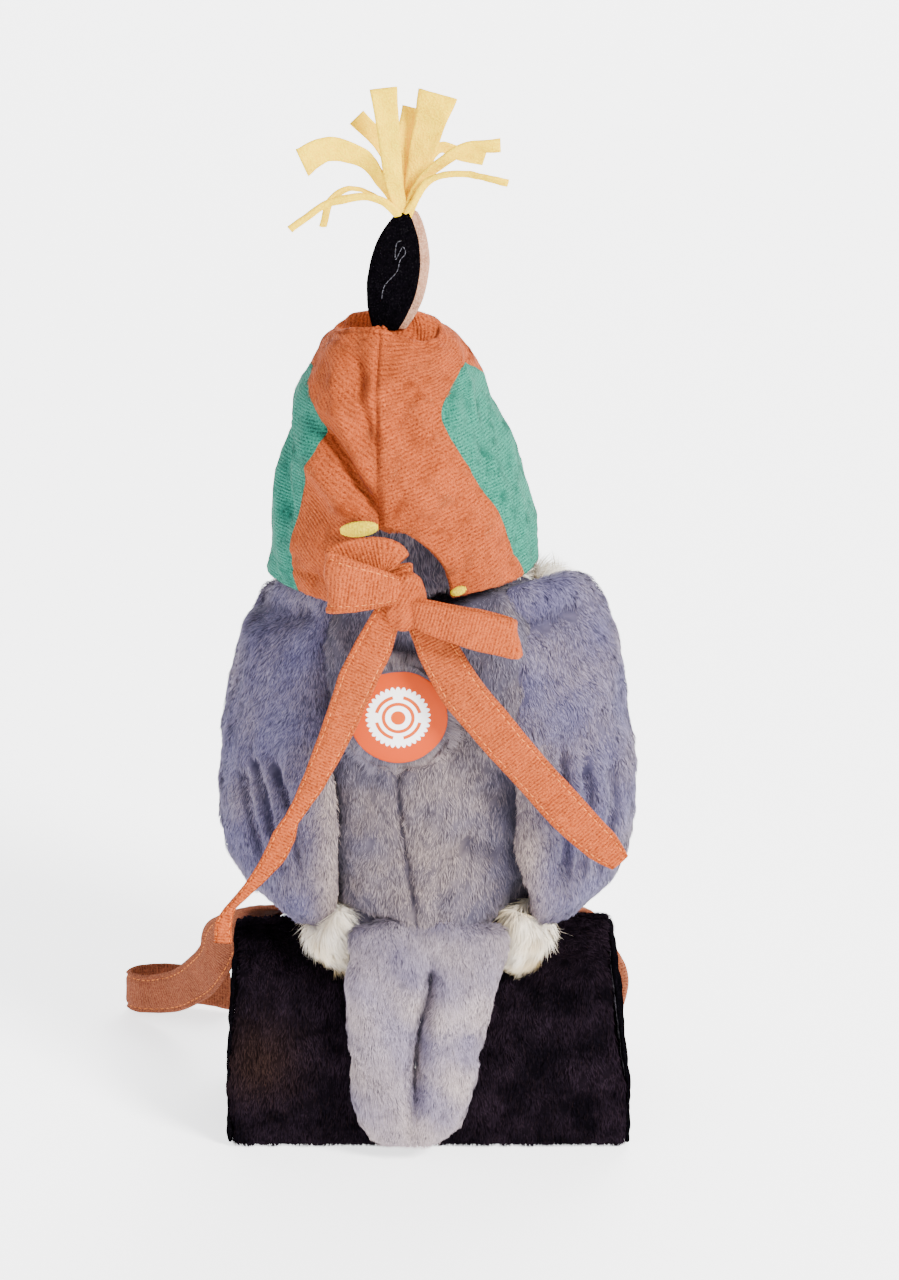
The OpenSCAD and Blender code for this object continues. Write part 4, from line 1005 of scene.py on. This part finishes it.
# ---------- bow ----------
KNOT = np.array([6.2, 39.5, 175.8])
TIE_LEFT = [(8.6, 38.6, 175), (11.6, 39, 170.5), (15.2, 39, 162), (19.8, 39, 152), (25.3, 39, 137.5),
            (31.6, 39, 123), (35.2, 39.4, 116), (38.8, 40, 110), (41.0, 40.2, 105), (43.6, 40.4, 99.4),
            (47.2, 40.4, 94), (51.3, 40.2, 89), (56.0, 40, 83.4), (58.6, 40, 78), (59.0, 40, 72)]
TIE_LEFT_SIDES = [(1, 0, 0.4)] * 5 + [
    (1, 0, 0.42), (1, 0, 0.5), (1, 0.1, 0.55), (1, 0.1, 0.55), (0.9, 0, 0.6), (0.8, 0.1, 0.9),
    (0.8, 0.2, 0.9), (0.9, 0.2, 0.7), (1, 0, 0.4), (1, 0, 0.1)]
TIE_LEFT_WIDTH = [7, 8.5, 10.5, 11, 9.4, 6.9, 5.4, 4.6, 7.0, 6.6, 5.2, 3.6, 2.7, 4.8, 5.2]
TIE_RIGHT = [(3.4, 37.6, 171.4), (-0.2, 37.4, 165.6), (-3.4, 37.6, 159.6), (-9.4, 38.3, 149),
             (-17.6, 39, 138.6), (-26.2, 39, 128), (-34.8, 39, 117.8), (-43.4, 39, 108), (-50, 39, 101.4),
             (-55, 39, 96.4)]
TIE_RIGHT_WIDTH = [7.5, 9.5, 11.5, 12.5, 12.5, 12.2, 12, 11.5, 10.5, 6.5]
LEFT_JESS = [(31, -8, 61.8), (38, -10.5, 61.2), (45, -14.8, 58.8), (52, -21, 54.4), (58.4, -27.4, 48.6),
             (63.2, -32.8, 41), (66.4, -38, 31), (72, -46, 21.4), (79, -54, 14), (86, -60, 10),
             (92, -65, 8.2), (95, -70, 7.4), (92.4, -74.4, 7.4), (86, -75.6, 7.4), (78, -74, 7.4),
             (70, -71, 7.4), (63, -68, 7.4)]
LEFT_JESS_SIDES = [(0, 1, 0.25), (0.15, 1, 0.3), (0.5, 0.8, 0.4), (0.77, 0.48, 0.42), (0.8, 0.25, 0.47),
                   (0.62, -0.1, 0.66), (0.5, -0.35, 0.75), (0.5, -0.3, 0.8), (0.4, -0.2, 0.9),
                   (0.2, -0.1, 1)] + [(0, 0, 1)] * 7
RIGHT_JESS = [(-33, -6, 61.8), (-37, -9.5, 61.2), (-41, -16, 58), (-45, -24, 51.8), (-48.4, -31, 43.8),
              (-52, -36, 34), (-54.6, -38.6, 25), (-54, -40.5, 16), (-52, -43.5, 7.2), (-47.6, -48, 2.6),
              (-40, -51.5, 1.2), (-31, -53.4, 1.2), (-22, -54.3, 1.2), (-13, -54, 1.2), (-5, -53, 1.2)]
RIGHT_JESS_SIDES = [(-0.2, 1, 0.3), (-0.5, 0.9, 0.3), (-0.88, 0.42, 0.2), (-1, 0.25, 0.1), (-1, 0.15, 0),
                    (-1, 0.1, 0), (-1, 0.1, 0), (-1, 0, 0.2), (-0.8, -0.6, 0), (-0.5, -1, 0), (-0.3, -1, 0),
                    (-0.1, -1, 0), (0, -1, 0), (0.05, -1, 0), (0.1, -1, 0)]


def sewn_tape(node, body, slot, points, sides, width, material, seed, thickness=TAPE_T, ripple=0.3,
              groove=0.37, threads="_tape_stitches"):
    """A tape in place of its CAD node, with a line of stitches along both edges."""
    obj, path, lines = tape(node + "_tape", points, sides, width, thickness, material, ripple, (groove,), seed)
    finish_piece(obj, body, slot, node)
    stitches(node + threads, lines, *SEAM, THREAD, body, slot)
    return obj, path


def tie(node, body, slot, points, sides, width, material, seed):
    """A sewn tape in place of its CAD node."""
    obj, path = sewn_tape(node, body, slot, points, sides, width, material, seed)


def make_knot():
    """The wrapped and wrinkled cloth of the bow's knot."""
    ring = np.arange(72) / 72 * 2 * math.pi
    rings = []
    for t in np.linspace(0.02, 0.98, 44):
        lean, high = math.pi * t, 8.6
        r = math.sin(lean) ** 0.75
        wrap = 0.55 * np.sin(ring * 3 + t * 9) + 0.5 * np.sin(ring * 7 - t * 5)
        rings.append(np.stack([
            (5.6 * r + 0.5 * wrap * r) * np.cos(ring) - 1.2 * (t - 0.5),
            (3.9 * r + 0.4 * wrap * r) * np.sin(ring), np.full(72, -high * math.cos(lean))], -1))
    rings = np.array(rings) + KNOT
    rings = rings + 0.25 * noise(rings, 3, 111)[..., None]
    knot = ring_mesh("bow_knot_cloth", rings, TAPE)
    set_value(knot, "rib", get_points(knot) @ [0.8, 0.2, 0.5])
    finish_piece(knot, "hood", "bow_fabric", "bow_knot")


def make_bow():
    make_knot()
    loop = [(7, 40.5, 179.5), (11, 42.8, 180.6), (17, 44.6, 181.6), (23.5, 45, 182.6), (27, 43.4, 183.2),
            (25.6, 41.2, 184), (19, 39.8, 187), (12, 39.2, 188.6), (8.6, 38.8, 186.6), (7, 38.8, 181.5)]
    side = [(0.3, 0, 1), (0.15, 0, 1), (0, 0.05, 1), (0, 0, 1), (0, 0, 1), (0, 0, 1), (0, 0.05, 1), (0.1, 0, 1),
            (0.5, 0, 1), (0.6, 0, 1)]
    width = [6.5, 9.5, 13.5, 17.5, 20.5, 19, 15.5, 12, 9, 6]
    sewn_tape("bow_loop_left", "hood", "bow_fabric", loop, side, width, TAPE, 121, TAPE_T,
              0.45, 0.37, "_stitches")
    loop = [(5.5, 41, 174.5), (1, 43.2, 172.8), (-8, 44.6, 170.4), (-17, 44.4, 168), (-23.4, 43.6, 166.2),
            (-24.9, 42, 165.6), (-23, 40.7, 166), (-16, 40.2, 167.6), (-7, 40, 170), (2, 39.6, 172.6),
            (6, 39, 174)]
    width = [6.5, 9, 10.8, 11.3, 11.5, 11.5, 11.5, 11.3, 10.5, 8.5, 6]
    sewn_tape("bow_loop_right", "hood", "bow_fabric", loop, [(0.25, 0, 1)] * 11, width, TAPE, 122,
              TAPE_T * 0.9, 0.25, 0.36, "_stitches")
    tie("tie_left", "hood", "bow_fabric", TIE_LEFT, TIE_LEFT_SIDES, TIE_LEFT_WIDTH, TAPE, 131)
    tie("tie_right", "hood", "bow_fabric", TIE_RIGHT, [(1, 0, -0.8)] * len(TIE_RIGHT), TIE_RIGHT_WIDTH, TAPE,
        132)
    tie("left_jess", "torso", "strap_fabric", LEFT_JESS, LEFT_JESS_SIDES, STRAP_W, SUEDE, 133)
    tie("right_jess", "torso", "strap_fabric", RIGHT_JESS, RIGHT_JESS_SIDES, STRAP_W, SUEDE, 134)
    make_tacks()


TACKS = [(19.2, 193.6, 5.4, 2.1, -6), (-8.6, 175.0, 2.2, 1.1, -20)]   # X and Z on the hood, reach, height, lean


def make_tacks():
    """Two rounded pads of satin stitches where the ties are sewn to the hood's hem."""
    points, faces = [], []
    phi, h = np.meshgrid(np.arange(40, 140, 0.5), np.arange(HEM, 60, 0.5))
    cloth = hood_points(phi, h).reshape(-1, 3)
    for x, z, reach, high, lean in TACKS:
        centre = cloth[np.argmin(np.hypot(cloth[:, 0] - x, cloth[:, 2] - z))] + [0, 0.2, 0]
        lean = math.radians(lean)
        for k, t in enumerate(np.linspace(-0.94, 0.94, int(reach * 5))):
            span = high * math.sqrt(1 - t * t)
            a = np.linspace(0, math.pi, 9)
            proud = 1.5 * np.sin(a) * math.sqrt(1 - t * t)
            arc = np.stack([np.full(9, t * reach), proud, -span * np.cos(a)], -1) + [0.06 * (k % 2), 0, 0]
            b = np.arange(6) * math.pi / 3
            out = np.stack([0 * a, np.sin(a), -np.cos(a)], -1)
            ring = arc[:, None] + 0.26 * (np.cos(b)[None, :, None] * np.array([1, 0, 0])
                                          + np.sin(b)[None, :, None] * out[:, None])
            over, up = ring[..., 0], ring[..., 2]
            ring = np.stack([over * math.cos(lean) - up * math.sin(lean), ring[..., 1],
                             over * math.sin(lean) + up * math.cos(lean)], -1) + centre
            first = len(points)
            points += ring.reshape(-1, 3).tolist()
            faces += grid_faces(9, 6, True, first)
            faces += [[first + i for i in range(6)][::-1], [first + 48 + i for i in range(6)]]
    finish_piece(weld(new_object("tack_stitches", points, faces, YELLOW)), "hood", "tack_fabric", "tie_tacks")


# ---------- button ----------
def on_disc(radius, y, rows, dome):
    """Points of a domed disc that faces backwards, in rings out from its centre."""
    r = np.linspace(0, 1, rows)[:, None] * radius
    a = np.linspace(0, 2 * math.pi, 97)[None, :-1]
    depth = y - dome * (r / radius) ** 2 + 0 * a
    return BUTTON + np.stack([r * np.cos(a), depth, r * np.sin(a)], -1)


def make_button():
    """The sticker's film, the plush round under it with its pile, and the return spring."""
    def circle(r, y):
        a = np.linspace(0, 2 * math.pi, 97)[None, :-1]
        return BUTTON + np.stack([r * np.cos(a), y + 0 * a, r * np.sin(a)], -1)

    rim = [circle(14.1, 30.95), circle(14.05, 30.75), circle(13.6, 30.6)]
    face = np.concatenate([on_disc(13.9, 32.0, 40, 0.9), *rim])
    face[..., 1] += 0.12 * noise(face, 9, 141)
    points = np.concatenate([face, circle(7, 30.6), circle(0.01, 30.6)])
    film = new_object("press_sticker_film", points.reshape(-1, 3), grid_faces(len(points), 96, True), STICKER)
    obj = weld(film)
    p = get_points(obj) - BUTTON
    set_value(obj, "disc_x", p[:, 0])
    set_value(obj, "disc_z", p[:, 2])
    finish_piece(obj, "press_button", "sticker", "press_sticker")
    skin = skin_around("press_patch_skin", ["press_patch"], 0.7, 14, GREY)
    p = get_points(skin)
    set_points(skin, BUTTON + (p - BUTTON) * [1.02, 1, 1.02])
    root_values(skin, back_tint)
    finish_piece(skin, "press_button", "grey_plush", "press_patch")

    def round_film(c, m):
        return (c[:, 1] > 24) * (np.hypot(c[:, 0] - BUTTON[0], c[:, 2] - BUTTON[2]) > 12.8)

    pile("press_patch_pile", skin, "press_button", GREY, "grey_plush", 16000, 4.8, 0.26, 0.14,
         lambda q, m: unit(q - BUTTON) * [1, 0, 1] + 0.1 * DOWN, round_film, back_tint, 142)
    make_spring()


def make_spring():
    low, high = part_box("button_spring")
    low, high = np.array(low) / MM, np.array(high) / MM
    wire, turns = 0.35, 5
    radius = (high[0] - low[0]) / 2 - wire
    t = np.linspace(0, 1, turns * 48)
    flat = np.clip((t * turns - 0.8) / (turns - 1.6), 0, 1)
    y = low[1] + wire + (high[1] - low[1] - 2 * wire) * flat
    a = t * turns * 2 * math.pi
    middle = (low + high) / 2
    path = np.stack([middle[0] + radius * np.cos(a), y, middle[2] + radius * np.sin(a)], -1)
    along = unit(np.gradient(path, axis=0))
    out = unit(path - np.stack([np.full(len(t), path[:, 0].mean()), y, np.full(len(t), path[:, 2].mean())], -1))
    cross = np.cross(along, out)
    b = np.arange(10) * math.pi / 5
    around = out[:, None] * np.cos(b)[None, :, None] + cross[:, None] * np.sin(b)[None, :, None]
    obj = ring_mesh("button_spring_wire", path[:, None] + wire * around, HARD["spring"])
    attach(obj, "torso")
    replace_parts(obj, "button_spring")
    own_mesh(obj)


# ---------- head, legs and filling ----------
def make_head():
    skin = skin_around("head_skin", ["crown_panel", "face_panel", "stuffing"], 1.3, 8, GREY)
    bm = bmesh.new()
    bm.from_mesh(skin.data)
    floor = on_head(np.array([0, 0, 5.0])) * MM
    up = HEAD_AXES @ np.array([0, 0, 1.0])
    bmesh.ops.bisect_plane(bm, geom=bm.verts[:] + bm.edges[:] + bm.faces[:], plane_co=floor, plane_no=-up,
                           clear_outer=True)
    bmesh.ops.holes_fill(bm, edges=[e for e in bm.edges if e.is_boundary])
    bm.to_mesh(skin.data)
    bm.free()
    p = get_points(skin)
    set_points(skin, p + get_normals(skin) * (0.5 * noise(p, 12, 151))[:, None])

    def pale(q):
        """The face is cream between its eyes and below them."""
        local = head_local(q)
        angle = np.abs(np.degrees(np.arctan2(local[:, 0], -local[:, 1])))
        return np.clip((58 - angle + 3 * noise(q, 3, 152)) / 6, 0, 1) * np.clip((40 - local[:, 2]) / 6, 0, 1)

    root_values(skin, None)
    finish_piece(skin, "torso", "grey_plush", "crown_panel")
    pile("crown_pile", skin, "torso", GREY, "grey_plush", 30000, 3.0, 0.35, 0.28, DOWN,
         lambda c, m: 1 - pale(c), lambda q: 0.1 + 0.1 * noise(q, 8, 153), 154)

    def clear_of_beak(c, m):
        return pale(c) * (np.linalg.norm(head_local(c) - np.array([0, -32, 26]), axis=1) > 7)

    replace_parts(pile("face_pile", skin, "torso", CREAM, "cream_plush", 16000, 3.2, 0.35, 0.25, DOWN,
                     clear_of_beak, None, 155), "face_panel")
    soft("beak_horn", "torso", "beak", ["beak"], 0.5, 8, HARD["beak"])
    soft("cere_pad", "torso", "cere", ["cere"], 0.45, 6, HARD["cere"])
    soft("eye_domes", "torso", "eye", ["eyes"], 0.35, 5, HARD["eye"])


def make_legs():
    skin = skin_around("thigh_skin", ["thighs"], 1.0, 10, CREAM)
    p = get_points(skin)
    p = p + get_normals(skin) * (0.5 * noise(p, 7, 161))[:, None]
    p = pull(p, ((40, 8, 60), 11, (-6, 0, 5)), ((-38, 8, 60), 11, (5, 0, 5)))
    set_points(skin, p)

    def straw(q):
        return np.clip(0.35 + 0.45 * noise(q, 6, 162), 0, 1)

    root_values(skin, straw)
    finish_piece(skin, "torso", "cream_plush", "thighs")
    pile("thigh_pile", skin, "torso", CREAM, "cream_plush", 52000, 6.2, 0.24, 0.20,
         lambda q, m: DOWN + [0, 0.35, 0] - [0.5, 0, 0] * np.sign(q[:, :1]), None, straw, 163)
    ruff = skin_around("ruff_skin", ["neck_ruff"], 0.9, 5, CREAM)
    root_values(ruff, None)
    finish_piece(ruff, "torso", "cream_plush", "neck_ruff")

    def up_and_out(q, m):
        return np.sign(q[:, :1]) * (np.abs(q[:, :1]) > 22) * [1, 0, 0] + [0, -0.3, 0.45]

    def sides(c, m):
        reach = get_points(ruff)[:, 0]
        outer = (c[:, 0] > reach.max() - 7) | (c[:, 0] < reach.min() + 7)
        return (c[:, 1] > -16) * (m[:, 2] > 0.2) * outer

    pile("ruff_pile", ruff, "torso", CREAM, "cream_plush", 16000, 3.4, 0.32, 0.35, up_and_out,
         None, lambda q: 0.2 + 0.3 * noise(q, 5, 164), 165)
    pile("ruff_tufts", ruff, "torso", CREAM, "cream_plush", 2600, 9, 0.3, 0.5,
         lambda q, m: np.sign(q[:, :1]) * [1, 0, 0] + [0, 0.2, 0.35], sides, None, 166)
    soft("left_foot_toes", "torso", "feet", ["left_foot"], 0.7, 6, FEET, 0.25)
    soft("right_foot_toes", "torso", "feet", ["right_foot"], 0.7, 6, FEET, 0.25)
    soft("claw_tips", "torso", "claws", ["claws"], 0.35, 5, HARD["claws"])


def make_cuff_ends():
    for obj in (soft("cuff_edge_bindings", "torso", "cuff_plush", ["cuff_bindings"], 0.8, 5, FELT_K, 0.2),
                soft("cuff_tube_lining", "torso", "cuff_lining", ["cuff_lining"], 1.0, 3, LINING, 0.15, 9)):
        set_points(obj, slant(get_points(obj)))


# ---------- camera and light ----------
def make_stage():
    look = Look("studio_floor", 0.9)
    uneven = look.math("MULTIPLY", look.noise(400, 1), 0.02)
    look.color(look.mix(uneven, (0.96, 0.96, 0.96), (0.94, 0.94, 0.94)))
    look.shader.inputs["Emission Color"].default_value = (1, 1, 1, 1)
    look.shader.inputs["Emission Strength"].default_value = 1.9
    near, far, side, radius, high = 2.0, 1.6, 4.8, 0.9, 3.0      # metres, with the curve's radius at the back
    profile = [(near, 0.0), (0.0, 0.0), (-far, 0.0)]
    for a in np.linspace(0.1, math.pi / 2, 16):
        profile.append((-far - radius * math.sin(a), radius - radius * math.cos(a)))
    profile.append((-far - radius, high))
    rows = [(x / MM, y / MM, z / MM - 0.02) for y, z in profile for x in (-side, side)]
    new_object("studio_floor", rows, grid_faces(len(profile), 2), look.material)


def light(name, place, aim, size, power, color=(1, 1, 1)):
    lamp = bpy.data.lights.new(name, "AREA")
    lamp.shape = "DISK"
    lamp.size = size
    lamp.energy = power
    lamp.color = color
    obj = bpy.data.objects.new(name, lamp)
    obj.location = place
    obj.rotation_euler = (Vector(aim) - Vector(place)).to_track_quat("-Z", "Y").to_euler()
    bpy.context.scene.collection.objects.link(obj)


def make_view():
    aim = Vector((-6.2, 0, 150)) * MM
    distance, height = 1.3, math.radians(20)
    lens = bpy.data.cameras.new("view")
    lens.lens = 126
    camera = bpy.data.objects.new("view", lens)
    camera.location = aim + Vector((0, math.cos(height), math.sin(height))) * distance
    camera.rotation_euler = (aim - camera.location).to_track_quat("-Z", "Y").to_euler()
    bpy.context.scene.collection.objects.link(camera)
    bpy.context.scene.camera = camera
    world = bpy.data.worlds.new("studio")
    bpy.context.scene.world = world
    world.use_nodes = True
    world.node_tree.nodes["Background"].inputs["Color"].default_value = (0.95, 0.97, 1.0, 1)
    world.node_tree.nodes["Background"].inputs["Strength"].default_value = 0.85
    light("key", (-1.7, 1.8, 1.9), (0, 0, 0.15), 0.9, 265, (1.0, 0.98, 0.97))
    light("fill", (2.2, 1.9, 1.1), (0, 0, 0.15), 1.8, 30, (0.70, 0.68, 1.0))
    light("front", (-0.6, -1.9, 2.0), (0, 0, 0.15), 1.5, 52)


for node, piece in frame["nodes"].items():
    slot = next(s["material_slot"] for s in frame["record"]["subparts"] if s["node"] == node)
    piece.data.materials.clear()
    piece.data.materials.append(HARD.get(slot, FIBRE))

make_body()
make_wing(1, "left_wing")
make_wing(-1, "right_wing")
make_tail()
make_cuff()
make_cuff_ends()
make_head()
make_legs()
make_hood()
make_tab_and_plume()
make_bow()
make_button()
make_stage()
make_view()
